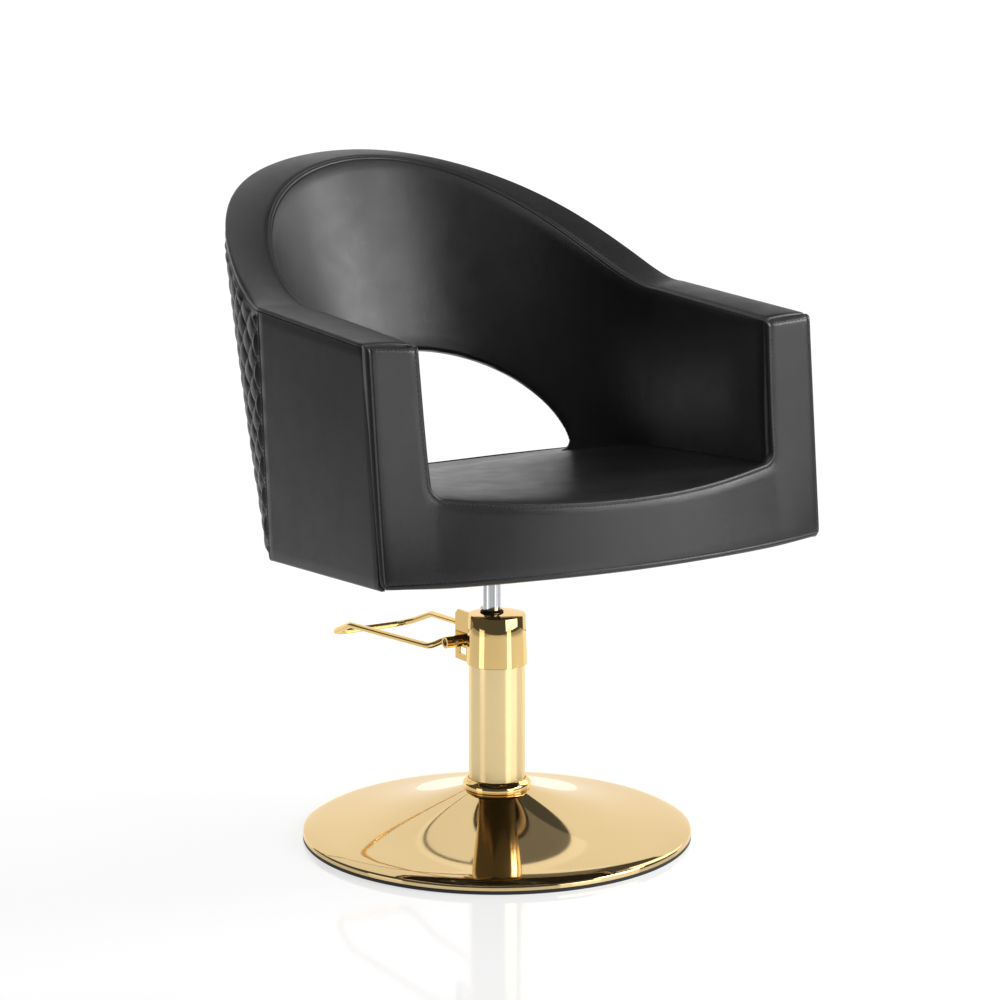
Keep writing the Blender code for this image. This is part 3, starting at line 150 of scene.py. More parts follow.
def grid_faces(lines):
    """Quads between neighbouring lines of vertex numbers, as far as the shorter line goes."""
    return [(one[k], two[k], two[k + 1], one[k + 1]) for one, two in zip(lines, lines[1:])
            for k in range(min(len(one), len(two)) - 1)]


def numbered(rows):
    """All the points of some rows, and each row as vertex numbers."""
    points, lines = [], []
    for row in rows:
        lines.append(list(range(len(points), len(points) + len(row))))
        points += row
    return points, lines


def normals_of(points, faces):
    """Normals at the points of a sheet of quads."""
    quads = np.array(faces)
    normal = np.cross(points[quads[:, 2]] - points[quads[:, 0]], points[quads[:, 3]] - points[quads[:, 1]])
    total = np.zeros_like(points)
    for corner in range(4):
        np.add.at(total, quads[:, corner], normal)
    length = np.linalg.norm(total, axis=1, keepdims=True)
    return total / np.maximum(length, 1e-12)


def outward_normals(points, faces, way):
    """Normals of a sheet, turned to agree with a way for all its points or for each."""
    normals = normals_of(points, faces)
    return -normals if np.mean(np.sum(normals * way, axis=1)) < 0 else normals


def rim_edges(faces):
    """Edges with a face on one side only."""
    seen = {}
    for face in faces:
        for k in range(len(face)):
            edge = (face[k], face[(k + 1) % len(face)])
            key = (min(edge), max(edge))
            seen[key] = None if key in seen else edge
    return [edge for edge in seen.values() if edge]


def close_sheet(front, back, faces):
    """Points and faces of the closed body between two sheets of the same make."""
    count = len(front)
    points = np.vstack((front, back))
    closed = [tuple(f) for f in faces]
    closed += [tuple(count + i for i in f[::-1]) for f in faces]
    closed += [(b, a, count + a, count + b) for a, b in rim_edges(faces)]
    return points, closed


def upholstery(name, face, back, faces, replaced=()):
    """Closed leather piece of the seat between its face and its back."""
    points, closed = close_sheet(face, back, faces)
    finish_mesh(name, points, closed, LEATHER, "seat", replaced)


def roll(distance, radius):
    """Depth of a rolled edge at a distance from it."""
    inside = np.clip(1 - distance / radius, 0, 1)
    return radius * (1 - np.sqrt(np.maximum(0, 1 - inside ** 2)))


def rolls(*edges):
    """Depth of the deepest of some rolled edges, each a distance and a radius."""
    return np.maximum.reduce([roll(distance, radius) for distance, radius in edges])


def groove(distance, width, depth):
    """Depth of a sewn line at a distance from it."""
    return depth * np.exp(-(distance / width) ** 2 * 2)


def edge_steps(radius, count):
    """Distances from an edge that follow a rolled edge evenly."""
    return [radius * (1 - math.sin(math.pi / 2 * (1 - k / count))) for k in range(count)]


def spread(start, end, first, last, step, count=0):
    """Stations from start to end, with fine distances after the start and before the end."""
    length = end - start
    low = list(first) or [0.0]
    high = [length - d for d in reversed(list(last) or [0.0])]
    middle = count or max(2, round((high[0] - low[-1]) / step))
    inner = [low[-1] + (high[0] - low[-1]) * k / middle for k in range(1, middle)]
    return [start + d for d in low + inner + high]


def along(points, pitch):
    """Centres and directions of stitches along a line of points."""
    points = [Vector(p) for p in points]
    lengths = [(q - p).length for p, q in zip(points, points[1:])]
    total = sum(lengths)
    count = max(1, round(total / pitch))
    found, index, done = [], 0, 0.0
    for k in range(count):
        aim = total * (k + 0.5) / count
        while index < len(lengths) - 1 and done + lengths[index] < aim:
            done += lengths[index]
            index += 1
        share = (aim - done) / max(lengths[index], 1e-9)
        way = points[index + 1] - points[index]
        found.append((points[index] + way * share, way.normalized(), index))
    return found


STITCHES = []


def sew(points, normals, lift=0.0, pitch=STITCH_PITCH, length=STITCH_LENGTH, width=0.0007):
    """Keep a row of stitches along a line on a surface with those normals."""
    for centre, way, index in along(points, pitch):
        up = Vector(normals[index]).normalized()
        STITCHES.append((centre + up * lift, way, up, length / 2, width))


def stitch_mesh(name, material):
    """One mesh with all the stitches: slim threads that dive at both ends."""
    rings = ((-1.0, -0.9, 0.35), (-0.45, 0.55, 1.0), (0.45, 0.55, 1.0), (1.0, -0.9, 0.35))
    section = ((-1, -0.5), (0, 0.45), (1, -0.5))
    points, faces = [], []
    for centre, way, up, half, width in STITCHES:
        side = way.cross(up).normalized()
        base = len(points)
        for share, rise, wide in rings:
            middle = centre + way * half * share
            for across, high in section:
                points.append(middle + side * width * wide * across + up * width * (rise + high * wide))
        for one in (base, base + 3, base + 6):
            for k in range(3):
                faces.append((one + k, one + (k + 1) % 3, one + 3 + (k + 1) % 3, one + 3 + k))
        faces.append((base + 2, base + 1, base))
        faces.append((base + 9, base + 10, base + 11))
    finish_mesh(name, points, faces, material, "seat")


# Shape of the tub

def oval(half_width, depth, power, start=0.0, steps=600):
    """Quarter of an oval from the side to the middle of the back, with its shares of length."""
    first = math.asin((start / depth) ** (power / 2)) if start > 0 else 0.0
    angle = first + (math.pi / 2 - first) * np.arange(steps + 1) / steps
    across = np.maximum(0.0, np.cos(angle)) ** (2 / power)
    points = np.stack((half_width * across, depth * np.sin(angle) ** (2 / power)), axis=1)
    share = np.concatenate(([0.0], np.cumsum(np.linalg.norm(np.diff(points, axis=0), axis=1))))
    return points, share / share[-1]


def on_oval(plan, turn):
    points, share = plan
    return np.interp(turn, share, points[:, 0]), np.interp(turn, share, points[:, 1])


INNER_TOP_PLAN = oval(BODY_HALF - ARM_WIDTH_TOP, BACK_TOP_Y - BACK_THICKNESS_TOP - INNER_PLAN_START,
                      INNER_PLAN_POWER)
INNER_SEAT_PLAN = oval(BODY_HALF - ARM_WIDTH_SEAT, BACK_BOTTOM_Y - BACK_THICKNESS_SEAT, 2.0)
OUTER_PLANS = {}


def outer_plan(inset):
    if inset not in OUTER_PLANS:
        OUTER_PLANS[inset] = oval(BODY_HALF - inset, BACK_TOP_Y - inset - BACK_PLAN_START, BACK_PLAN_POWER,
                                  CORNER_TOP_Y - BACK_PLAN_START)
    return OUTER_PLANS[inset]


def outer_top(turn, inset):
    """Plan of the outer top edge: an oval that eases into the arms' straight sides."""
    plan = outer_plan(inset)
    x, y = on_oval(plan, turn)
    x += (BODY_HALF - inset - plan[0][0][0]) * max(0.0, 1 - turn / CORNER_TURN) ** 2
    return x, y + BACK_PLAN_START


def eased_rise(turn, ease, power):
    soft = (math.hypot(turn, ease) - ease) / (math.hypot(1, ease) - ease)
    return math.sin(math.pi / 2 * soft ** power)


def bottom_height(y):
    return BODY_BOTTOM - BOTTOM_FALL * (y - FRONT_BOTTOM_Y)


def seat_height(x, y):
    return SEAT_EDGE - SEAT_FALL * (y - FRONT_BOTTOM_Y) + SEAT_DISH * x * x


def front_lift(x, behind=0.0):
    """Fullness of the seat at a place across it and a distance behind its front edge."""
    across = max(0.0, 1 - (x / FRONT_LIFT_HALF) ** 2)
    return FRONT_LIFT * across * max(0.0, 1 - behind / FRONT_LIFT_DEPTH) ** 2


def front_face(x, z):
    share = (z - BODY_BOTTOM) / ARM_HEIGHT
    corner = FRONT_BOTTOM_Y + FRONT_BOW
    fade = 1 + ARM_FACE_FADE * min(1.0, abs(x) / ARM_FACE_PLACE) ** 4
    bow = FRONT_BOW * (1 - (x / BODY_HALF) ** 2) * max(0.0, 1 - share) ** fade
    return corner + (FRONT_TOP_Y - corner) * share - bow


class Column:
    """One station along the tub, from an arm's front (arm 0) to the middle of the back (turn 1)."""

    def __init__(self, side, arm, turn):
        self.side, self.arm, self.turn = side, arm, turn
        rise = eased_rise(turn, BACK_RISE_EASE, BACK_RISE_POWER)
        self.corner_top = CORNER_TOP + (BACK_TOP - CORNER_TOP) * rise
        self.bottom = bottom_height(self.forward(*self.bottom_point(0.0), OUTER_SEAM_DEPTH))
        self.top = self.arm_height(ARM_FRONT_TOP, self.corner_top)
        seat_x, seat_y = on_oval(INNER_SEAT_PLAN, turn)
        self.seat_point = (seat_x, seat_y)
        deep = self.forward(seat_x, seat_y, seat_height(seat_x, FRONT_BOTTOM_Y), INNER_SEAM_DEPTH)
        self.lip = seat_height(seat_x, deep)
        rim_x, rim_y = on_oval(INNER_TOP_PLAN, turn)
        self.rim_point = (rim_x, rim_y + INNER_PLAN_START)
        low_rim = CORNER_TOP - TOP_FALL / 2
        rim_rise = eased_rise(turn, INNER_RISE_EASE, INNER_RISE_POWER)
        self.seam = self.arm_height(ARM_FRONT_TOP - TOP_FALL / 2,
                                    low_rim + (BACK_TOP - TOP_FALL - low_rim) * rim_rise)
        self.cap = ARM_CAP + (CAP - ARM_CAP) * min(1.0, turn / CAP_TURN)
        self.run = side * ((1 - turn) * BACK_RUN + (1 - arm) * ARM_RUN)

    def bottom_point(self, inset):
        half = BODY_HALF - inset
        depth = BACK_BOTTOM_Y - inset - CORNER_BOTTOM_Y
        radius = (half ** 2 + depth ** 2) / (2 * depth)
        centre_y = CORNER_BOTTOM_Y + depth - radius
        first = math.asin((CORNER_BOTTOM_Y - centre_y) / radius)
        angle = first + (math.pi / 2 - first) * self.turn
        y = centre_y + radius * math.sin(angle)
        return (radius * math.cos(angle), y, bottom_height(y))

    def forward(self, x, y, z, depth):
        """Draw a point of the corner forward along the arm, to a depth behind the front face."""
        if self.arm >= 1:
            return y
        start = front_face(x, z) + depth
        return start + (y - start) * self.arm

    def arm_height(self, front, corner):
        return corner if self.arm >= 1 else front + (corner - front) * self.arm

    def outer(self, z, inset=0.0, depth=OUTER_SEAM_DEPTH):
        share = (z - self.bottom) / (self.top - self.bottom)
        low = self.bottom_point(inset)
        x, y = outer_top(self.turn, inset)
        x = low[0] + (x - low[0]) * share
        y = low[1] + (y - low[1]) * share
        swell = self.fullness(share)
        x, y = x + swell * x / math.hypot(x, y), y + swell * y / math.hypot(x, y)
        return (self.side * x, self.forward(x, y, z, depth), z)

    def fullness(self, share):
        """Outward swell of the padded shell between its corners, at a share of its height."""
        between = min(1.0, self.turn / CORNER_TURN) * min(1.0, 3 * (1 - self.turn))
        share = min(1.0, max(0.0, share))
        return between * (COVER_FULL_TOP * share + COVER_FULL_MIDDLE * 4 * share * (1 - share))

    def inner(self, z, depth=INNER_SEAM_DEPTH):
        share = (z - self.lip) / (self.seam - self.lip)
        x = self.seat_point[0] + (self.rim_point[0] - self.seat_point[0]) * share
        y = self.seat_point[1] + (self.rim_point[1] - self.seat_point[1]) * share
        swell = PAD_CROWN * math.sin(math.pi * min(1.0, max(0.0, share)))
        swell *= min(1.0, self.arm * ARM_RUN / SWELL_FADE)
        inward = Vector((x, max(y, 0.0), 0)).normalized() * swell
        x -= inward.x
        return (self.side * x, self.forward(x, y - inward.y, z, depth), z)


SPRING = seat_height(*on_oval(INNER_SEAT_PLAN, ARCH_START))
TIP = SPRING + ARCH_CORNER


def roof(turn, margin=0.0):
    """Upper edge of the arched hole on the inner face."""
    start = ARCH_START - margin / BACK_RUN
    apart = min(1.0, (1 - turn) / (1 - start))
    return TIP + margin + (ARCH_HEIGHT - ARCH_CORNER) * (1 - apart ** ARCH_POWER) ** ARCH_ROUND


def sill(column, margin=0.0):
    """Lower edge of the arched hole, which turns up into its round corner."""
    start = ARCH_START - margin / BACK_RUN
    share = min(1.0, (column.turn - start) / HOLE_CORNER)
    arc = 1 - math.sqrt(max(0.0, 1 - (1 - share) ** 2))
    low = column.lip - margin
    return low + (TIP - low) * arc


def arm_stations(fine, step):
    return [d / ARM_RUN for d in spread(0.0, ARM_RUN, fine, [0.0], step)]


def tip_steps(count):
    """Distances that widen away from the tip of the hole."""
    return [0.06 * BACK_RUN * (k / count) ** 2 for k in range(count + 1)]


def side_turns(fine, step):
    """Turns from the corner of the back to the tip of the hole, finer towards both."""
    return [d / BACK_RUN for d in spread(0.0, ARCH_START * BACK_RUN, fine, tip_steps(14), step)]


def arch_turns(step):
    """Turns from the tip of the hole to the middle of the back, finer towards the tip."""
    length = (1 - ARCH_START) * BACK_RUN
    return [ARCH_START + d / BACK_RUN for d in spread(0.0, length, tip_steps(16), [0.0], step)]


class Layer:
    """A sheet of the tub with the arched hole: points, faces and each point's run, height and column."""

    def __init__(self, place, low, high, low_rows, high_rows, arms, sides, arches, whole_low, margin=0.0,
                 fall=0.0):
        self.place = place
        self.points, self.run, self.height, self.column, self.faces = [], [], [], [], []
        cut = len(low_rows)
        for side in (-1, 1):
            columns = [Column(side, arm, 0.0) for arm in arms[:-1]]
            columns += [Column(side, 1.0, turn) for turn in sides]
            plain = []
            for column in columns:
                lower = self.line(column, low(column), TIP - fall, low_rows)
                upper = self.line(column, TIP - fall, high(column), high_rows)
                plain.append(lower + upper[1:])
            uppers, lowers = [plain[-1][cut - 1:]], [plain[-1][:cut]]
            for turn in arches[1:]:
                column = Column(side, 1.0, turn)
                uppers.append(self.line(column, roof(turn, margin) - fall, high(column), high_rows))
                if whole_low or turn <= ARCH_START + HOLE_CORNER + 1e-6:
                    lowers.append(self.line(column, low(column), sill(column, margin) - fall, low_rows))
            made = grid_faces(plain) + grid_faces(uppers) + grid_faces(lowers)
            self.faces += [face[::-1] for face in made] if side > 0 else made
        self.weld()

    def line(self, column, start, end, rows):
        """Vertex numbers of new points up one column."""
        first = len(self.points)
        for share, offset in rows:
            z = start + (end - start) * share + offset
            self.points.append(self.place(column, z))
            self.run.append(column.run)
            self.height.append(z)
            self.column.append(column)
        return list(range(first, len(self.points)))

    def weld(self):
        """Join the doubled points along the split and in the middle of the back."""
        first, number, kept = {}, [], []
        for index, point in enumerate(self.points):
            key = tuple(round(v, 6) for v in point)
            if key not in first:
                first[key] = len(kept)
                kept.append(index)
            number.append(first[key])
        rings = [tuple(number[index] for index in face) for face in self.faces]
        self.faces = [ring for ring in rings if len(set(ring)) == 4]
        self.points, self.run = np.array(self.points)[kept], np.array(self.run)[kept]
        self.height = np.array(self.height)[kept]
        self.column = [self.column[index] for index in kept]

    def each(self, read):
        """A value of each point's column."""
        return np.array([read(column) for column in self.column])

    def hole_distance(self, margin=0.0, fall=0.0):
        """Distance of each point to the hole's edge, on the developed sheet."""
        turns = [ARCH_START + HOLE_CORNER * (k / 29) ** 2 for k in range(30)]
        turns += [float(turn) for turn in np.linspace(ARCH_START + HOLE_CORNER, 1.0, 60)]
        edge = [((1 - turn) * BACK_RUN, roof(float(turn), margin) - fall)
                for turn in np.linspace(ARCH_START, 1.0, 240)]
        edge += [((1 - turn) * BACK_RUN, sill(Column(1, 1.0, turn), margin) - fall) for turn in turns]
        edge = np.array(edge)
        own = np.stack((np.abs(self.run), self.height), axis=1)
        best, chunk = np.zeros(len(own)), 4000
        for start in range(0, len(own), chunk):
            gap = np.linalg.norm(own[start:start + chunk, None, :] - edge[None, :, :], axis=2)
            best[start:start + chunk] = gap.min(axis=1)
        return best


def row_list(first, last, count):
    """Rows of a block: fine offsets after its start and before its end, even shares between."""
    rows = [(0.0, d) for d in first]
    for k in range(1, count):
        share = k / count
        rows.append((share, first[-1] * (1 - share) - last[-1] * share))
    return rows + [(1.0, -d) for d in reversed(last)]


# Materials

class Shade:
    """A material of one Principled shader, with textures in the piece's own coordinates."""

    def __init__(self, name, color, roughness, metallic=0.0):
        self.material = bpy.data.materials.new(name)
        self.material.use_nodes = True
        self.nodes, self.links = self.material.node_tree.nodes, self.material.node_tree.links
        self.inputs = self.nodes["Principled BSDF"].inputs
        self.inputs["Base Color"].default_value = (*color, 1)
        self.inputs["Roughness"].default_value = roughness
        self.inputs["Metallic"].default_value = metallic
        self.color, self.normal = color, None
        self.place = self.add("TexCoord").outputs["Object"]

    def add(self, kind, **sockets):
        """New node, its sockets set to values or linked to other nodes."""
        node = self.nodes.new("ShaderNode" + kind)
        for name, value in sockets.items():
            if isinstance(value, bpy.types.NodeSocket):
                self.links.new(value, node.inputs[name])
            else:
                node.inputs[name].default_value = value
        return node

    def noise(self, scale, detail=2.0, rough=0.5, stretch=None):
        place = self.place
        if stretch:
            place = self.add("Mapping", Scale=stretch, Vector=place).outputs["Vector"]
        return self.add("TexNoise", Scale=scale, Detail=detail, Roughness=rough, Vector=place).outputs["Fac"]

    def ramp(self, value, low, high, first, second, socket=None):
        """Colours or greys between two places of a value, led to a socket of the shader."""
        node = self.add("ValToRGB", Fac=value)
        for element, position, color in zip(node.color_ramp.elements, (low, high), (first, second)):
            element.position = position
            element.color = (*color, 1) if isinstance(color, tuple) else (color, color, color, 1)
        if socket:
            self.links.new(node.outputs["Color"], self.inputs[socket])
        return node.outputs["Color"]

    def tones(self, value, dark, light):
        """Base colour that wanders between a darker and a lighter tone."""
        self.ramp(value, 0.3, 0.7, tuple(c * dark for c in self.color),
                  tuple(min(1.0, c * light) for c in self.color), "Base Color")

    def bump(self, height, strength, distance):
        """Bump over any bump made before it."""
        node = self.add("Bump", Strength=strength, Distance=distance, Height=height)
        if self.normal:
            self.links.new(self.normal, node.inputs["Normal"])
        self.normal = node.outputs["Normal"]
        self.links.new(self.normal, self.inputs["Normal"])


def leather(name, color, roughness):
    """Black leather: fine pebbled grain, soft creases, uneven sheen."""
    shade = Shade(name, color, roughness)
    shade.tones(shade.noise(9.0, 4.0, 0.6), 0.8, 1.25)
    shade.ramp(shade.noise(26.0, 5.0, 0.65), 0.25, 0.75, roughness - 0.05, roughness + 0.06, "Roughness")
    cells = shade.add("TexVoronoi", Scale=760.0, Vector=shade.place)
    cells.feature = 'DISTANCE_TO_EDGE'
    shade.bump(shade.ramp(cells.outputs["Distance"], 0.0, 0.35, 0.0, 1.0), 0.2, 0.0004)
    shade.bump(shade.noise(120.0, 6.0, 0.7), 0.10, 0.0012)
    return shade.material


def metal(name, color, roughness, streak=0.0, painted_reflection_streaks=0.0):
    """Plated metal: clean reflections with a faint haze and hairlines, and where asked, painted reflections:
    light and dark streaks along its length in the colour.
    """
    shade = Shade(name, color, roughness, 1.0)
    tint = tuple(0.65 + 0.35 * c / max(color) for c in color)
    shade.inputs["Specular Tint"].default_value = (*tint, 1)
    # With streaks asked for, light and dark streaks along the length are painted into the base colour as
    # painted reflections; otherwise the tone only wanders faintly at random.
    tone = shade.noise(140.0, 3.0, 0.5, (1, 1, 0.01)) if painted_reflection_streaks else shade.noise(5.0, 3.0)
    shade.tones(tone, 0.95 - painted_reflection_streaks, 1.04 + painted_reflection_streaks)
    shade.ramp(shade.noise(40.0, 5.0, 0.7), 0.3, 0.8, roughness * 0.75, roughness * 1.3, "Roughness")
    if streak:
        shade.bump(shade.noise(60.0, 4.0, 0.6, (1, 1, 40)), streak, 0.0003)
    return shade.material


def plain(name, color, roughness, scale, depth, stretch=None):
    """Paint, rubber, cloth or wood with its own texture."""
    shade = Shade(name, color, roughness)
    shade.tones(shade.noise(scale, 5.0, 0.6, stretch), 0.75, 1.25)
    fine = shade.noise(scale * 8, 3.0, 0.6, stretch)
    shade.ramp(fine, 0.3, 0.7, roughness - 0.06, roughness + 0.06, "Roughness")
    shade.bump(fine, 0.3, depth)
    return shade.material


LEATHER = leather("black_leather_grain", (0.0092, 0.0092, 0.0096), 0.36)
THREAD = plain("black_thread", (0.022, 0.022, 0.023), 0.5, 900.0, 0.0001)
SLOTS = {
    "polished_gold": metal("polished_gold_plate", (0.82, 0.58, 0.24), 0.055),
    "satin_gold": metal("satin_gold_plate", (0.83, 0.64, 0.34), 0.17, 0.05),
    # The chrome rod's light and dark streaks along its length are painted reflections in its colour.
    "chrome": metal("chrome_rod", (0.58, 0.59, 0.61), 0.09, 0.0, 0.45),
    "zinc_steel": metal("zinc_plate", (0.55, 0.56, 0.58), 0.3, 0.05),
    "black_steel": plain("black_paint", (0.02, 0.02, 0.02), 0.42, 120.0, 0.0001),
    "bronze": metal("bearing_bronze", (0.6, 0.42, 0.22), 0.28, 0.05),
    "black_rubber": plain("black_rubber_matte", (0.016, 0.016, 0.016), 0.62, 300.0, 0.0001),
    "black_leather": LEATHER,
    "birch_ply": plain("birch_veneer", (0.62, 0.46, 0.29), 0.55, 9.0, 0.0002, stretch=(1, 14, 1)),
    "black_cloth": plain("dust_cloth", (0.008, 0.008, 0.008), 0.9, 700.0, 0.0003),
}
BASE_GOLD = metal("pale_gold_plate", (0.68, 0.51, 0.26), 0.05)
for part in frame["record"]["subparts"]:
    mesh = frame["nodes"][part["node"]].data
    mesh.materials.clear()
    mesh.materials.append(SLOTS[part["material_slot"]])


# Inner back and arm padding with its hole

def make_inner_pad():
    hole_round, seam_round, front_round, thick = 0.007, 0.006, 0.005, 0.014
    below = 0.022       # the pad reaches down behind the seat
    hole_steps = edge_steps(hole_round, 7)
    layer = Layer(lambda column, z: column.inner(z), lambda column: column.lip - below,
                  lambda column: column.seam, row_list([0.0], hole_steps, 4),
                  row_list(hole_steps, edge_steps(seam_round, 6), 16),
                  arm_stations(edge_steps(front_round, 6), 0.02), side_turns([0.0], 0.010),
                  arch_turns(0.009), False)
    base = layer.points
    outward = outward_normals(base, layer.faces, TUB_MIDDLE - base)
    depth = rolls((layer.hole_distance(), hole_round),
                  (layer.each(lambda column: column.seam) - layer.height, seam_round),
                  (layer.each(lambda column: column.arm) * ARM_RUN, front_round))
    upholstery("inner_back_pad", base - outward * depth[:, None], base - outward * thick, layer.faces,
               ["back_and_arm_padding"])


def make_hole_lining():
    """Leather strip round the hole, from the inner face to the quilted cover."""
    count, tuck, face_gap, back_gap = 24, 0.0006, 0.0003, 0.0018
    shares = (0.11, 0.2, 0.35, 0.5, 0.65, 0.8, 0.9, 0.945)
    half = []
    for k in range(count + 1):
        angle = math.pi / 2 * k / count
        turn = ARCH_START + HOLE_CORNER * (1 - math.sin(angle))
        half.append((turn, TIP - (TIP - Column(1, 1.0, turn).lip) * math.cos(angle) - tuck * (k == 0)))
    half += [(turn, roof(turn)) for turn in arch_turns(0.006)[1:]]
    loop = []
    for side, order in ((-1, half), (1, half[-2::-1])):
        for turn, z in order:
            column = Column(side, 1.0, turn)
            loop.append((np.array(column.inner(z)), np.array(column.outer(z - ARCH_FALL))))
    face, back = [], []
    for index, (one, two) in enumerate(loop):
        before, after = loop[max(0, index - 1)], loop[min(len(loop) - 1, index + 1)]
        for share in shares:
            way = (after[0] - before[0]) * (1 - share) + (after[1] - before[1]) * share
            into = np.cross(way, two - one)
            into /= np.linalg.norm(into)
            point = one + (two - one) * share
            face.append(point + into * face_gap)
            back.append(point + into * back_gap)
    lines = np.arange(len(face)).reshape(len(loop), len(shares)).tolist()
    upholstery("hole_lining", np.array(face), np.array(back), grid_faces(lines))


# Quilted outer cover

def quilt_height(run, z):
    """Pillow of the diamonds, 0 along their sewn lines and 1 in their middle."""
    p = (run + z) / DIAMOND
    q = (run - z) / DIAMOND
    return np.abs(np.sin(math.pi * p) * np.sin(math.pi * q)) ** 0.42


def cover_top(column):
    return column.top - column.cap - SEW_GAP


def make_quilted_cover():
    edge_round, seam_round, calm_width, thick = 0.004, 0.003, 0.004, 0.009
    edge = edge_steps(edge_round, 5)
    layer = Layer(lambda column, z: column.outer(z), lambda column: column.bottom, cover_top,
                  row_list(edge, edge, 32), row_list(edge, edge, 116), [1.0], side_turns(edge, QUILT_STEP),
                  arch_turns(QUILT_STEP), True, 0.0, ARCH_FALL)
    base = layer.points
    outward = outward_normals(base, layer.faces, base - TUB_MIDDLE)
    from_hole = layer.hole_distance(0.0, ARCH_FALL)
    from_top = layer.each(cover_top) - layer.height
    from_low = layer.height - layer.each(lambda column: column.bottom)
    from_side = layer.each(lambda column: column.turn) * BACK_RUN
    depth = rolls((from_hole, edge_round), (from_top, seam_round), (from_low, edge_round),
                  (from_side, seam_round))
    calm = np.ones(len(base))
    for distance, margin in ((from_hole, 0.009), (from_top, 0.004), (from_low, 0.010), (from_side, 0.008)):
        calm *= np.clip((distance - margin) / calm_width, 0, 1)
    puff = QUILT_PUFF * quilt_height(layer.run, layer.height) * calm
    upholstery("quilted_cover", base + outward * (puff - depth)[:, None], base - outward * thick,
               layer.faces, ["quilted_back_cover"])
    from_seam, low, high, count = STITCH_OFFSET - 0.002, 0.436, 0.752, 60
    for side in (-1, 1):
        seam = Column(side, 1.0, from_seam / BACK_RUN)
        rear = [seam.outer(z, 0.0003) for z in np.linspace(low, high, count)]
        sew(rear, [(side, 0.1, 0)] * count, 0.0002)


def on_quilt(column, z):
    """Whether a place on the cover is clear of its edges and of the hole."""
    margin, top_margin, tip_margin = 0.013, 0.007, 0.024
    if not column.bottom + margin < z < cover_top(column) - top_margin:
        return False
    if column.turn <= ARCH_START - tip_margin:
        return True
    low_edge = sill(column) - ARCH_FALL - margin
    high_edge = roof(max(column.turn, ARCH_START)) - ARCH_FALL + margin
    return not low_edge < z < high_edge


def sew_quilt():
    """Stitches along the lines of the diamonds."""
    reach, low, high, step, side_margin = 1.6, 0.425, 0.945, 0.004, 0.012
    count = int(reach / DIAMOND)
    for lean in (-1, 1):
        for line in range(-count, count + 1):
            row = []
            for z in np.arange(low, high, step):
                run = line * DIAMOND + lean * z
                turn = 1 - abs(run) / BACK_RUN
                column = None
                if turn * BACK_RUN > side_margin:
                    column = Column(1 if run > 0 else -1, 1.0, turn)
                if column and on_quilt(column, z):
                    row.append(column.outer(z))
                else:
                    sew_row(row)
                    row = []
            sew_row(row)


def sew_row(row):
    """Sew one line of the quilting, unless it is too short."""
    lift, pitch, length, width = 0.0003, 0.0048, 0.0034, 0.0006
    if len(row) > 3:
        sew(row, [(p[0], p[1] - 0.02, 0) for p in row], lift, pitch, length, width)


# Top band

def make_top_band():
    seam_round, end_round, front_round, thick = 0.004, 0.002, 0.004, 0.006
    before_bend = 0.0012        # the second line of stitches, before the outer edge
    bends, back_steps = 8, 110
    arms = arm_stations(edge_steps(front_round, 5), 0.012)
    columns = [Column(-1, arm, 0.0) for arm in arms[:-1]]
    columns += [Column(-1, 1.0, k / back_steps) for k in range(back_steps + 1)]
    columns += [Column(1, column.arm, column.turn) for column in columns[-2::-1]]
    close = edge_steps(seam_round, 5) + [0.0052, 0.0065, 0.0078]
    rows, marks = [], []
    for column in columns:
        start = np.array(column.inner(column.seam, BAND_DEPTH))
        edge = np.array(column.outer(column.top, 0.0, BAND_DEPTH))
        end = np.array(column.outer(column.top - column.cap, 0.0, BAND_DEPTH))
        bend = min(0.006, column.cap * 0.8)
        flat, drop = np.linalg.norm(edge - start), np.linalg.norm(end - edge)
        near, far = edge + (start - edge) * bend / flat, edge + (end - edge) * bend / drop
        path = [(start + (near - start) * d / (flat - bend), d, flat - d + drop)
                for d in spread(0.0, flat - bend, close, [0.0], 0, 8)]
        for k in range(1, bends):
            s = k / bends
            point = near * (1 - s) ** 2 + edge * 2 * s * (1 - s) + far * s ** 2
            path.append((point, flat - bend + bend * 1.6 * s, drop - bend + bend * 1.6 * (1 - s)))
        path += [(far + (end - far) * s, flat + bend, (drop - bend) * (1 - s))
                 for s in (0.0, 0.25, 0.5, 0.7, 0.85, 0.95, 1.0)]
        rows.append([spot[0] for spot in path])
        marks += [(*spot[1:], column.arm * ARM_RUN, flat) for spot in path]
    base, lines = numbered(rows)
    base, faces = np.array(base), grid_faces(lines)
    outward = outward_normals(base, faces, (0, 0, 1))
    from_seam, from_end, from_front, flat = np.array(marks).T
    crown = 0.0022 * np.sin(math.pi * np.clip(from_seam / flat, 0, 1)) ** 0.7
    depth = rolls((from_seam, seam_round), (from_end, end_round), (from_front, front_round))
    depth += groove(from_seam - STITCH_OFFSET, 0.0013, 0.0009)
    depth += groove(from_seam - flat + before_bend, 0.0012, 0.0007)
    face = base + outward * (crown - depth)[:, None]
    upholstery("top_band", face, base - outward * thick, faces, ())
    for gap, lift in ((from_seam - STITCH_OFFSET, 0.0002), (from_seam - flat + before_bend, 0.0001)):
        row = [min(line, key=lambda index: abs(gap[index])) for line in lines]
        sew(face[row], outward[row], lift)


# Side panels

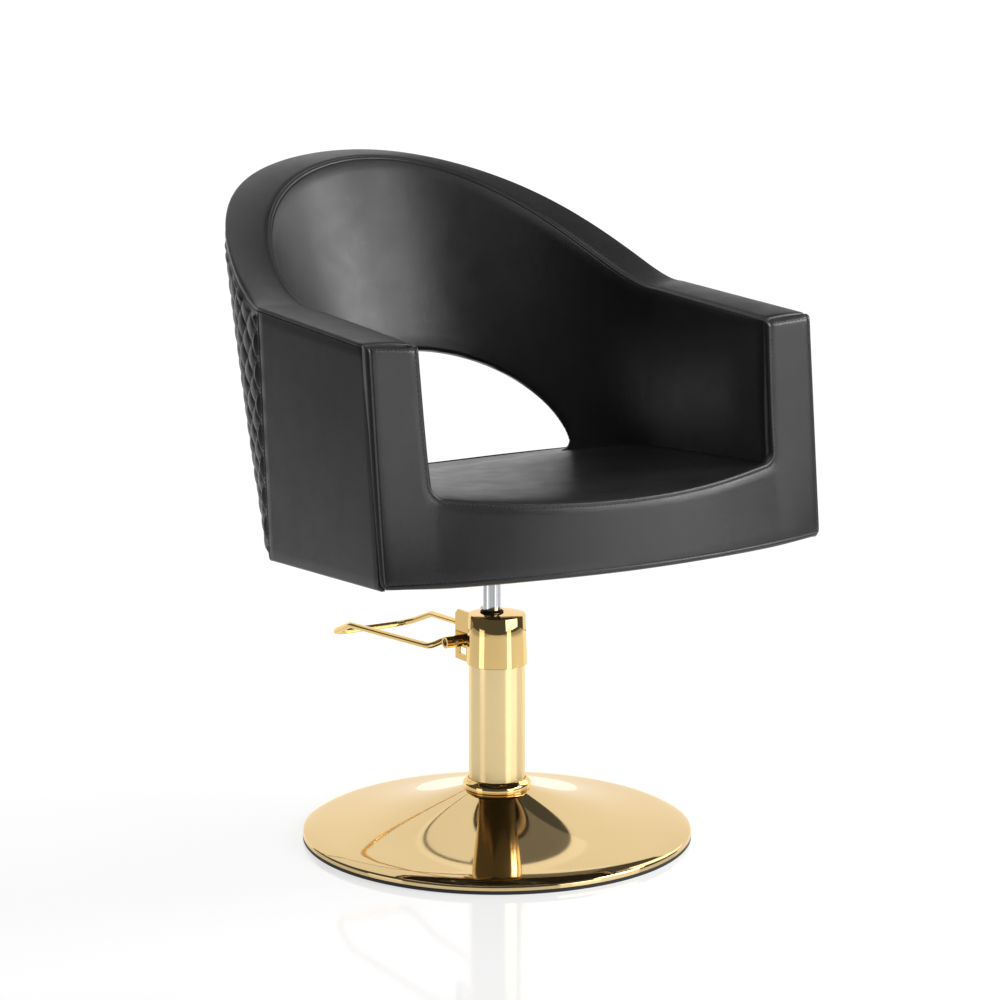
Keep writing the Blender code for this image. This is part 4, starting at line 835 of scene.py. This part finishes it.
def make_side_panels():
    low_round, edge_round, front_round, thick, steps = 0.005, 0.003, 0.0015, 0.009, 24
    rows = [(0.0, d) for d in edge_steps(low_round, 6)]
    rows += [(k / steps, low_round * (1 - k / steps) - edge_round * k / steps) for k in range(1, steps)]
    rows += [(1.0, -d) for d in reversed(edge_steps(edge_round, 5))]
    places = spread(SIDE_GAP, ARM_RUN, edge_steps(front_round, 4), edge_steps(edge_round, 5), 0.012)
    for side, hand in ((-1, "right"), (1, "left")):
        sheet, marks = [], []
        for arm in (d / ARM_RUN for d in places):
            column = Column(side, min(arm, 0.99999), 0.0)
            cut = SIDE_CORNER * (1 - min(1.0, (arm * ARM_RUN - SIDE_GAP) / SIDE_CORNER))
            top = cover_top(column) - (SIDE_CORNER - math.sqrt(max(0.0, SIDE_CORNER ** 2 - cut ** 2)))
            heights = [column.bottom + (top - column.bottom) * share + offset for share, offset in rows]
            sheet.append([column.outer(z) for z in heights])
            marks += [(column.arm * ARM_RUN, z - column.bottom, top - z) for z in heights]
        base, lines = numbered(sheet)
        base, outward = np.array(base), np.array((side, 0.0, 0.0))
        from_front, from_low, from_top = np.array(marks).T
        depth = rolls((from_front - SIDE_GAP, front_round), (ARM_RUN - from_front, edge_round),
                      (from_low, low_round), (from_top, edge_round))
        depth += groove(from_low - 0.008, 0.0016, 0.0006)
        crown = 0.0016 * np.sin(math.pi * np.clip(from_front / ARM_RUN, 0, 1)) * np.sin(
            math.pi * np.clip(from_low / (from_low + from_top), 0, 1))
        upholstery(f"side_cover_{hand}", base + outward * (crown - depth)[:, None], base - outward * thick,
                   grid_faces(lines), [f"side_panel_{hand}"])


# Front panel

def make_front_panel():
    """Arm fronts and apron in one U-shaped strip, from its outer edge to its inner edge."""
    inner_low, inner_high = BODY_HALF - ARM_WIDTH_SEAT, BODY_HALF - ARM_WIDTH_TOP
    fillet, corner, floor = SEAT_CORNER_ROUND, 0.009, BODY_BOTTOM
    outer_round, inner_round, top_round, thick = 0.004, 0.005, 0.012, 0.0125
    lead = 0.01             # the outer edge is this far ahead of the inner one at an arm's foot
    outer_line, top_line = 0.0058, 0.006    # sewn lines from the outer edge and from the arms' tops
    steps, count, spans, ends = 26, 60, 8, 6

    def edge_z(x):
        return SEAT_EDGE + SEAT_DISH * x * x + front_lift(x)

    fillet_x = inner_low - fillet
    arm_end = edge_z(inner_low) + fillet
    tall = ARM_FRONT_TOP - arm_end
    stations = spread(0.0, tall, edge_steps(top_round, 9), [0.0], 0.008)
    half = []
    for d in stations:
        share = d / tall
        outer = (BODY_HALF, ARM_FRONT_TOP - d * (tall + lead) / tall)
        inner_x = inner_high + (inner_low - inner_high) * share
        half.append((outer, (inner_x, ARM_FRONT_TOP - d - TOP_FALL / 2 * (1 - share)), (1, 0), (-1, 0)))
    start_z = arm_end - lead
    side_length = start_z - floor - corner
    bend_length = corner * math.pi / 2
    bottom_length = BODY_HALF - corner - fillet_x
    for k in range(1, steps):
        s = k / steps
        d = (side_length + bend_length + bottom_length) * s
        if d < side_length:
            outer, out = (BODY_HALF, start_z - d), (1, 0)
        elif d < side_length + bend_length:
            turn = (d - side_length) / corner
            out = (math.cos(turn), -math.sin(turn))
            outer = (BODY_HALF - corner + corner * out[0], floor + corner + corner * out[1])
        else:
            outer, out = (BODY_HALF - corner - (d - side_length - bend_length), floor), (0, -1)
        angle = math.pi / 2 * s
        inner_x = inner_low - fillet * (1 - math.cos(angle))
        inner = (inner_x, edge_z(inner_x) + fillet * (1 - math.sin(angle)))
        half.append((outer, inner, out, (-math.cos(angle), math.sin(angle))))
    for k in range(count + 1):
        x = fillet_x * (1 - k / count)
        half.append(((x, floor), (x, edge_z(x)), (0, -1), (0, 1)))

    pairs = [[(-x, z) for x, z in pair] for pair in half] + half[-2::-1]
    steps_out = edge_steps(outer_round, 5) + [0.0042, 0.0050, 0.0058, 0.0066, 0.0078]
    steps_in = edge_steps(inner_round, 5) + [0.0058, 0.0068, 0.0080]
    rows, marks = [], []
    for index, pair in enumerate(pairs):
        on_arm = min(index, len(pairs) - 1 - index) < len(stations)
        down = ARM_FRONT_TOP - pair[0][1] if on_arm else FAR
        outer, inner, out, into = (np.array(v) for v in pair)
        first, last = outer - out * steps_out[-1], inner - into * steps_in[-1]
        spots = [(outer - out * d, d, FAR) for d in steps_out]
        spots += [(first + (last - first) * k / spans, FAR, FAR) for k in range(1, spans)]
        spots += [(inner - into * d, FAR, d) for d in reversed(steps_in)]
        rows.append([(x, front_face(x, z), z) for (x, z), _, _ in spots])
        marks += [(*spot[1:], down) for spot in spots]
    base, lines = numbered(rows)
    base, faces = np.array(base), grid_faces(lines)
    outward = outward_normals(base, faces, (0, -1, 0))
    from_outer, from_inner, down = np.array(marks).T
    depth = rolls((from_outer, outer_round), (from_inner, inner_round), (down, top_round))
    depth += groove(from_outer - outer_line, 0.0011, 0.0009) * (down > 0.004)
    depth += groove(from_inner - STITCH_OFFSET, 0.0013, 0.0008)
    face = base - outward * depth[:, None]
    upholstery("front_cover", face, base - outward * thick, faces, ["front_panel"])
    down_row = min(range(len(stations)), key=lambda k: abs(stations[k] - top_line))
    seams = [([line[row] for line in lines[ends:-ends]], 0.0001)
             for row in (len(steps_out) - 3, len(lines[0]) - len(steps_in) + 1)]
    seams += [(line[ends:-ends], 0.0002) for line in (lines[down_row], lines[-1 - down_row])]
    for spots, lift in seams:
        sew(face[spots], outward[spots], lift)


# Seat cushion

def make_seat_pad():
    half, deep = BODY_HALF - ARM_WIDTH_SEAT, 0.45
    edge_round, lip_round, strip = 0.006, 0.005, 0.012
    sides = [d / BACK_RUN for d in spread(0.0, ARCH_START * BACK_RUN, [0.0], [0.0], 0.008)]
    turns = [(-1, turn) for turn in sides + arch_turns(0.008)[1:]]
    turns += [(1, turn) for _, turn in turns[-2::-1]]
    shares = spread(0.0, 1.0, [d / deep for d in edge_steps(edge_round, 6)],
                    [d / deep for d in edge_steps(0.008, 5)], 0.03)
    sill_shares = (0.1, 0.25, 0.45, 0.65, 0.8, 0.88, 0.925, 0.96, 0.985, 1.0)
    rows, floor_points, marks = [], [], []
    for side, turn in turns:
        column = Column(side, 1.0, turn)
        x, rear = column.seat_point
        x *= side
        start = front_face(x, seat_height(x, FRONT_BOTTOM_Y) + front_lift(x)) + INNER_SEAM_DEPTH - 0.0005
        open_rear = turn > ARCH_START + HOLE_CORNER * 0.6
        row = []
        for share in shares:
            y = start + (rear - start) * share
            wide = math.sqrt(max(0.0, 1 - (max(0.0, y) / (BACK_BOTTOM_Y - BACK_THICKNESS_SEAT)) ** 2)) * half
            mid = (1 - abs(x / half) ** 6) * (1 - abs(2 * share - 1) ** 6)
            crown = SEAT_CROWN * mid - SEAT_CROWN / 4
            row.append((x, y, seat_height(x, y) + crown + front_lift(x, y - start)))
            floor_points.append((x, y, BOARD_TOP + SEW_GAP))
            beside, behind = (FAR, FAR) if open_rear else (max(0.0, wide - abs(x)), rear - y)
            marks.append((y - start, beside, behind, FAR))
        if turn >= ARCH_START - 1e-9:
            outer = np.array(column.outer(column.lip - ARCH_FALL + 0.001))
            inner = np.array(row[-1])
            length = np.linalg.norm(outer - inner)
            for share in sill_shares:
                point = inner + (outer - inner) * share
                row.append(tuple(point))
                floor_points.append((point[0], point[1], point[2] - strip))
                marks.append((FAR, FAR, FAR, length * (1 - share)))
        rows.append(row)
    base, lines = numbered(rows)
    face = np.array(base)
    front, beside, behind, lip = np.array(marks).T
    face[:, 2] -= rolls((front, edge_round), (beside, edge_round), (behind, edge_round), (lip, lip_round))
    upholstery("seat_pad", face, np.array(floor_points), grid_faces(lines), ["seat_cushion"])


# Moulded ply frame, cut back from the hole's lining

def make_ply_frame():
    margin, top_margin, front_depth, step = 0.004, 0.006, 0.014, 0.012
    rows = [row_list([0.0], [0.0], count) for count in (6, 14)]
    sheets = []
    for inset in (FRAME_INSET, FRAME_INSET + FRAME_SHEET):
        sheets.append(Layer(lambda column, z: column.outer(z, inset, front_depth),
                            lambda column: column.bottom + margin,
                            lambda column: column.top - column.cap - top_margin, *rows,
                            arm_stations([0.0], 0.05), side_turns([0.0], step), arch_turns(step), True,
                            margin, ARCH_FALL))
    gaps = sheets[0].hole_distance(margin, ARCH_FALL)
    kept = [face for face in sheets[0].faces if min(gaps[index] for index in face) > FRAME_SETBACK]
    used = sorted({index for face in kept for index in face})
    number = {old: new for new, old in enumerate(used)}
    kept = [tuple(number[index] for index in face) for face in kept]
    points, closed = close_sheet(sheets[0].points[used], sheets[1].points[used], kept)
    finish_mesh("ply_frame", points, closed, SLOTS["birch_ply"], "seat", ["tub_frame"])


# Turned metal

def turned(name, profile, slot, body, replaced, centre=(0.0, 0.0), steps=160):
    """Closed ring profile turned about an upright axis."""
    rows = []
    for k in range(steps):
        angle = 2 * math.pi * k / steps
        rows.append([(centre[0] + radius * math.cos(angle), centre[1] + radius * math.sin(angle), z)
                     for radius, z in profile])
    points, lines = numbered(rows)
    lines = [line + line[:1] for line in lines]
    faces = grid_faces(lines + lines[:1])
    return sharpen(finish_mesh(name, points, faces, SLOTS[slot], body, replaced))


def sharpen(piece, angle=32):
    """Keep edges over an angle crisp."""
    piece.data.set_sharp_from_angle(angle=math.radians(angle))
    return piece


def arc(centre, radius, start, end, count):
    """Points along an arc between two angles in degrees."""
    angles = [math.radians(start + (end - start) * k / count) for k in range(count + 1)]
    return [(centre[0] + radius * math.cos(angle), centre[1] + radius * math.sin(angle)) for angle in angles]


def make_base():
    """Polished cover with its rubber edge and collar."""
    base_radius, rim, rim_top, inner = 0.275, 0.004, 0.0128, 0.0404
    cone, flare, flare_power, drop, drop_power = 0.021, 0.0324, 2.2, 0.0036, 26
    sheet, cover_bottom, count, rim_steps, steps = 0.0015, 0.0053, 90, 8, 256
    centre = (base_radius - rim, rim_top - rim)
    outside = []
    for k in range(count):
        share = k / count
        rise = cone * (1 - share) + flare * (1 - share) ** flare_power + drop * (1 - share ** drop_power)
        outside.append((inner + (centre[0] - inner) * share, rim_top + rise))
    outside += arc(centre, rim, 65, 0, rim_steps) + [(base_radius, cover_bottom)]
    inside = [(max(inner, r - sheet * (k > count)), z - sheet * (k < count + rim_steps))
              for k, (r, z) in enumerate(outside)]
    inside[-1] = (base_radius - sheet, cover_bottom)
    cover = turned("base_cover_polished", outside + inside[::-1], "polished_gold", "base", ["base_cover"],
                   steps=steps)
    cover.data.materials[0] = BASE_GOLD
    trim_inner, trim_side, trim_top, bevel = 0.261, 0.2742, 0.005, 0.0008
    rubber = [(trim_inner, 0.0), (trim_side, 0.0), (base_radius, bevel), (base_radius, trim_top - bevel),
              (trim_side, trim_top), (trim_inner, trim_top)]
    turned("rubber_edge", rubber, "black_rubber", "base", ["rubber_edge_trim"], steps=steps)
    bottom, outer, height, chamfer = 0.0665, 0.0482, 0.0165, 0.0055
    top, slope = bottom + height, bottom + height - chamfer
    collar = [(inner, bottom), (outer - 0.003, bottom)]
    collar += arc((outer - 0.004, bottom + 0.004), 0.004, -60, 0, 5)
    collar += [(outer, slope - 0.0012), (outer - 0.0008, slope + 0.0002), (outer - 0.0022, slope + 0.0014),
               (inner + 0.0018, top - 0.0004), (inner + 0.0006, top), (inner, top - 0.0006)]
    turned("collar", collar, "polished_gold", "base", ["collar_ring"])


def make_column():
    tube_inner, tube_outer = 0.037, 0.040
    low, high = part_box("column_tube")[0][2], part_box("column_tube")[1][2]
    tube = [(tube_inner, low), (tube_outer, low), (tube_outer, high), (tube_inner, high)]
    turned("column", tube, "satin_gold", "base", ["column_tube"])
    make_sleeve()
    low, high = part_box("piston_rod")[0][2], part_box("piston_rod")[1][2]
    axis, pin, radius, foot = 0.0002, 0.004, 0.0125, low + 0.0182
    rod = [(axis, low), (pin, low), (pin, foot), (radius, foot), (radius, high), (axis, high)]
    turned("lift_rod", rod, "chrome", "seat", ["piston_rod"], (0.0, ROD_OFFSET), 96)


def make_sleeve():
    """Pump head with its off-centre bore on top and the slot for the rocker at the back."""
    low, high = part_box("pump_head_sleeve")[0][2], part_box("pump_head_sleeve")[1][2]
    outer, wall, lap, top_radius, bore, lip = 0.0422, 0.0034, 0.0403, 0.0402, 0.0152, 0.0006
    shoulder, ceiling, core = low + 0.0148, high - 0.008, outer - wall
    slot_low, slot_high, steps = 0.262, 0.290, 160
    cuts = [math.pi / 2 - math.asin(x / outer) for x in (0.0044, 0.0176)]
    angles = sorted([2 * math.pi * k / steps for k in range(steps)] + cuts)

    def taper(z):
        return outer + lip + (top_radius - outer - lip) * (z - low) / (high - low)

    profile = [("bore", ceiling), ("bore", high - 0.0004), (top_radius - 0.0014, high),
               (top_radius - 0.0004, high - 0.0003), (taper(high - 0.0012), high - 0.0012),
               (taper(slot_high), slot_high), (taper(slot_low), slot_low), (taper(low + lip), low + lip),
               (outer, low), (lap, low), (lap, shoulder), (core, shoulder), (core, slot_low),
               (core, slot_high), (core, ceiling)]
    out_high, out_low, in_low, in_high = 5, 6, 12, 13       # the slot's corners in the profile
    rows = []
    for angle in angles:
        x, y = math.cos(angle), math.sin(angle)
        rows.append([(bore * x, ROD_OFFSET + bore * y, z) if radius == "bore" else
                     (radius * x, radius * y, z) for radius, z in profile])
    points, lines = numbered(rows)
    faces, count = [], len(profile)
    for k, one in enumerate(lines):
        following = (k + 1) % len(lines)
        two = lines[following]
        in_slot = cuts[1] < (angles[k] + angles[following]) / 2 < cuts[0]
        for r in range(count):
            s = (r + 1) % count
            if not (in_slot and r in (out_high, in_low)):
                faces.append((one[r], two[r], two[s], one[s]))
        if in_slot:
            faces.append((one[out_high], two[out_high], two[in_high], one[in_high]))
            faces.append((one[out_low], two[out_low], two[in_low], one[in_low]))
    for angle in cuts:
        line = lines[angles.index(angle)]
        faces.append((line[out_high], line[out_low], line[in_low], line[in_high]))
    sharpen(finish_mesh("pump_head", points, faces, SLOTS["polished_gold"], "base",
                        ["pump_head_sleeve"]))


def sweep(points, radius, sides=24):
    """Points and faces of a round bar along a line, with flat ends."""
    path = [Vector(p) for p in points]
    ways = [(path[min(k + 1, len(path) - 1)] - path[max(k - 1, 0)]).normalized() for k in range(len(path))]
    angles = [2 * math.pi * n / sides for n in range(sides)]
    side = ways[0].orthogonal().normalized()
    rows = []
    for k, (point, way) in enumerate(zip(path, ways)):
        if k:
            side = (side - way * side.dot(way)).normalized()
        up = way.cross(side)
        rows.append([point + (side * math.cos(angle) + up * math.sin(angle)) * radius for angle in angles])
    found, rings = numbered(rows)
    faces = grid_faces([ring + ring[:1] for ring in rings])
    return found, faces + [tuple(rings[0]), tuple(rings[-1][::-1])]


def rounded(points, radius, count=14):
    """Line with its corners turned into arcs."""
    points = [Vector(p) for p in points]
    path = [points[0]]
    for before, here, after in zip(points, points[1:], points[2:]):
        one, two = (before - here), (after - here)
        reach = min(radius * math.tan((math.pi - one.angle(two)) / 2), one.length * 0.49, two.length * 0.49)
        start, end = here + one.normalized() * reach, here + two.normalized() * reach
        for k in range(count + 1):
            s = k / count
            path.append(start * (1 - s) ** 2 + here * 2 * s * (1 - s) + end * s ** 2)
    return path + [points[-1]]


def make_lever():
    """Wire loop of the foot lever, from hub to hub."""
    pivot = Vector((0, 0.055, 0.272))
    rod, reach, half_width, dip, dip_length, sag, bend = 0.0046, 0.312, 0.070, 0.026, 0.067, 0.0195, 0.014
    bracket_half, gap, hub_length, hub_radius = 0.022, 0.0003, 0.030, 0.0085
    root_x = bracket_half + gap + hub_length - rod - 0.001
    root_y = hub_radius + gap
    half = [(root_x, root_y, 0), (root_x, root_y + rod, 0), (root_x + bend, root_y + rod + bend, -sag / 2),
            (half_width, reach - dip_length, -sag), (half_width - 0.004, reach, -sag - dip)]
    points = [(-x, y, z) for x, y, z in half] + half[::-1]
    found, faces = sweep([p + pivot for p in rounded(points, 0.030)], rod)
    finish_mesh("lever_wire", found, faces, SLOTS["polished_gold"], "lever", ["foot_lever"])


# Floor, light and camera

VIEW = (0.5284, 0.8490)     # level direction the camera looks in


def staged(ahead, across, z=0.0):
    """A place in the studio, ahead of the camera's view of the chair and across it."""
    return (VIEW[0] * ahead + VIEW[1] * across, VIEW[1] * ahead - VIEW[0] * across, z)


def make_floor():
    """White paper floor that glows, brighter in the middle than at both sides."""
    near, far, half, spread_rate = -5.0, 1.35, 6.0, 0.4
    mesh = bpy.data.meshes.new("floor")
    corners = [staged(near, -half), staged(near, half), staged(far, half), staged(far, -half)]
    mesh.from_pydata(corners, [], [(0, 1, 2, 3)])
    floor = bpy.data.objects.new("floor", mesh)
    bpy.context.scene.collection.objects.link(floor)
    shade = Shade("pale_floor", (0.36, 0.36, 0.36), 0.06)
    shade.inputs["Specular IOR Level"].default_value = 0.16
    shade.inputs["Emission Strength"].default_value = 1.0
    across = shade.add("VectorMath")
    across.operation = 'DOT_PRODUCT'
    across.inputs[1].default_value = (VIEW[1] * spread_rate, -VIEW[0] * spread_rate, 0)
    shade.links.new(shade.place, across.inputs[0])
    beside = shade.add("Math")
    beside.operation = 'ABSOLUTE'
    shade.links.new(across.outputs["Value"], beside.inputs[0])
    shade.ramp(beside.outputs["Value"], 0.66, 1.0, 0.65, 0.36, "Emission Color")
    shade.ramp(shade.noise(3.0), 0.3, 0.7, 0.05, 0.075, "Roughness")
    mesh.materials.append(shade.material)


def make_world():
    """White for the picture's ground; a dim room for the light and the reflections."""
    world = bpy.data.worlds.new("studio")
    bpy.context.scene.world = world
    world.use_nodes = True
    nodes, links = world.node_tree.nodes, world.node_tree.links
    nodes.clear()
    out = nodes.new("ShaderNodeOutputWorld")
    mix = nodes.new("ShaderNodeMixShader")
    path = nodes.new("ShaderNodeLightPath")
    for socket, grey, strength in ((2, 1.0, 1.05), (1, 0.09, 1.0)):
        ground = nodes.new("ShaderNodeBackground")
        ground.inputs["Color"].default_value = (grey, grey, grey, 1)
        ground.inputs["Strength"].default_value = strength
        links.new(ground.outputs["Background"], mix.inputs[socket])
    links.new(path.outputs["Is Camera Ray"], mix.inputs["Fac"])
    links.new(mix.outputs["Shader"], out.inputs["Surface"])


def area_light(name, place, aim, size, power):
    data = bpy.data.lights.new(name, 'AREA')
    data.shape = 'RECTANGLE'
    data.size, data.size_y = size
    data.energy = power
    light = bpy.data.objects.new(name, data)
    light.location = place
    light.visible_camera = False
    light.rotation_euler = (Vector(aim) - Vector(place)).to_track_quat('-Z', 'Y').to_euler()
    bpy.context.scene.collection.objects.link(light)


def make_lights():
    """Backdrop behind, softboxes on the right, above and behind, and low strips; all out of the picture."""
    backdrop = 1.4      # distance behind the chair
    for name, across, z, size, power in (("backdrop", 0.15, 0.56, (4.1, 1.12), 15),
                                         ("backdrop_high_left", -1.2, 1.9, (2.2, 1.5), 9),
                                         ("backdrop_high_right", 1.75, 1.9, (1.7, 1.5), 4),
                                         ("backdrop_left", -3.2, 0.15, (2.0, 0.3), 0.5)):
        area_light(name, staged(backdrop, across, z), staged(0, across, z), size, power)
    area_light("softbox_right", (1.94, -1.24, 2.07), (-0.05, 0.29, 0.84), (1.2, 1.1), 54)
    area_light("softbox_low", (1.35, -2.5, 0.84), (0, -0.3, 0.55), (2.8, 1.0), 24)
    area_light("softbox_side", (2.1, 0.4, 1.5), (0, 0.2, 0.8), (1.2, 1.2), 7)
    area_light("softbox_top", (-0.4, 0.0, 3.0), (0, 0, 0.5), (2.0, 2.0), 20)
    area_light("softbox_back", (0.8, 2.2, 2.5), (0, 0.3, 0.9), (2.4, 1.4), 1.5)
    area_light("strip_left", staged(-0.60, -1.04, 0.16), staged(0, 0, 0.16), (0.45, 0.3), 0.5)
    area_light("strip_right", staged(-0.82, 0.88, 0.16), staged(0, 0, 0.16), (0.35, 0.3), 0.5)


def make_camera():
    """Camera solved from the base's ellipse, the column and the straight edges of the arms."""
    yaw, distance, height, pitch = math.radians(-31.896), 3.6034, 1.1262, math.radians(10.171)
    focal, middle, image, sensor = 2636.858, 496.97, 1000, 36.0     # pixels, and the sensor in mm
    data = bpy.data.cameras.new("photo_camera")
    data.sensor_width = sensor
    data.lens = focal * sensor / image
    data.shift_x = (image / 2 - middle) / image
    data.clip_end = 60
    camera = bpy.data.objects.new("photo_camera", data)
    camera.location = (math.sin(yaw) * distance, -math.cos(yaw) * distance, height)
    camera.rotation_euler = (math.pi / 2 - pitch, 0, yaw)
    bpy.context.scene.collection.objects.link(camera)
    bpy.context.scene.camera = camera


make_camera()
make_world()
make_lights()
make_floor()
make_base()
make_column()
make_lever()
make_inner_pad()
make_hole_lining()
make_quilted_cover()
sew_quilt()
make_top_band()
make_side_panels()
make_front_panel()
make_seat_pad()
make_ply_frame()
stitch_mesh("stitches", THREAD)
bpy.context.scene.view_settings.view_transform = 'Standard'
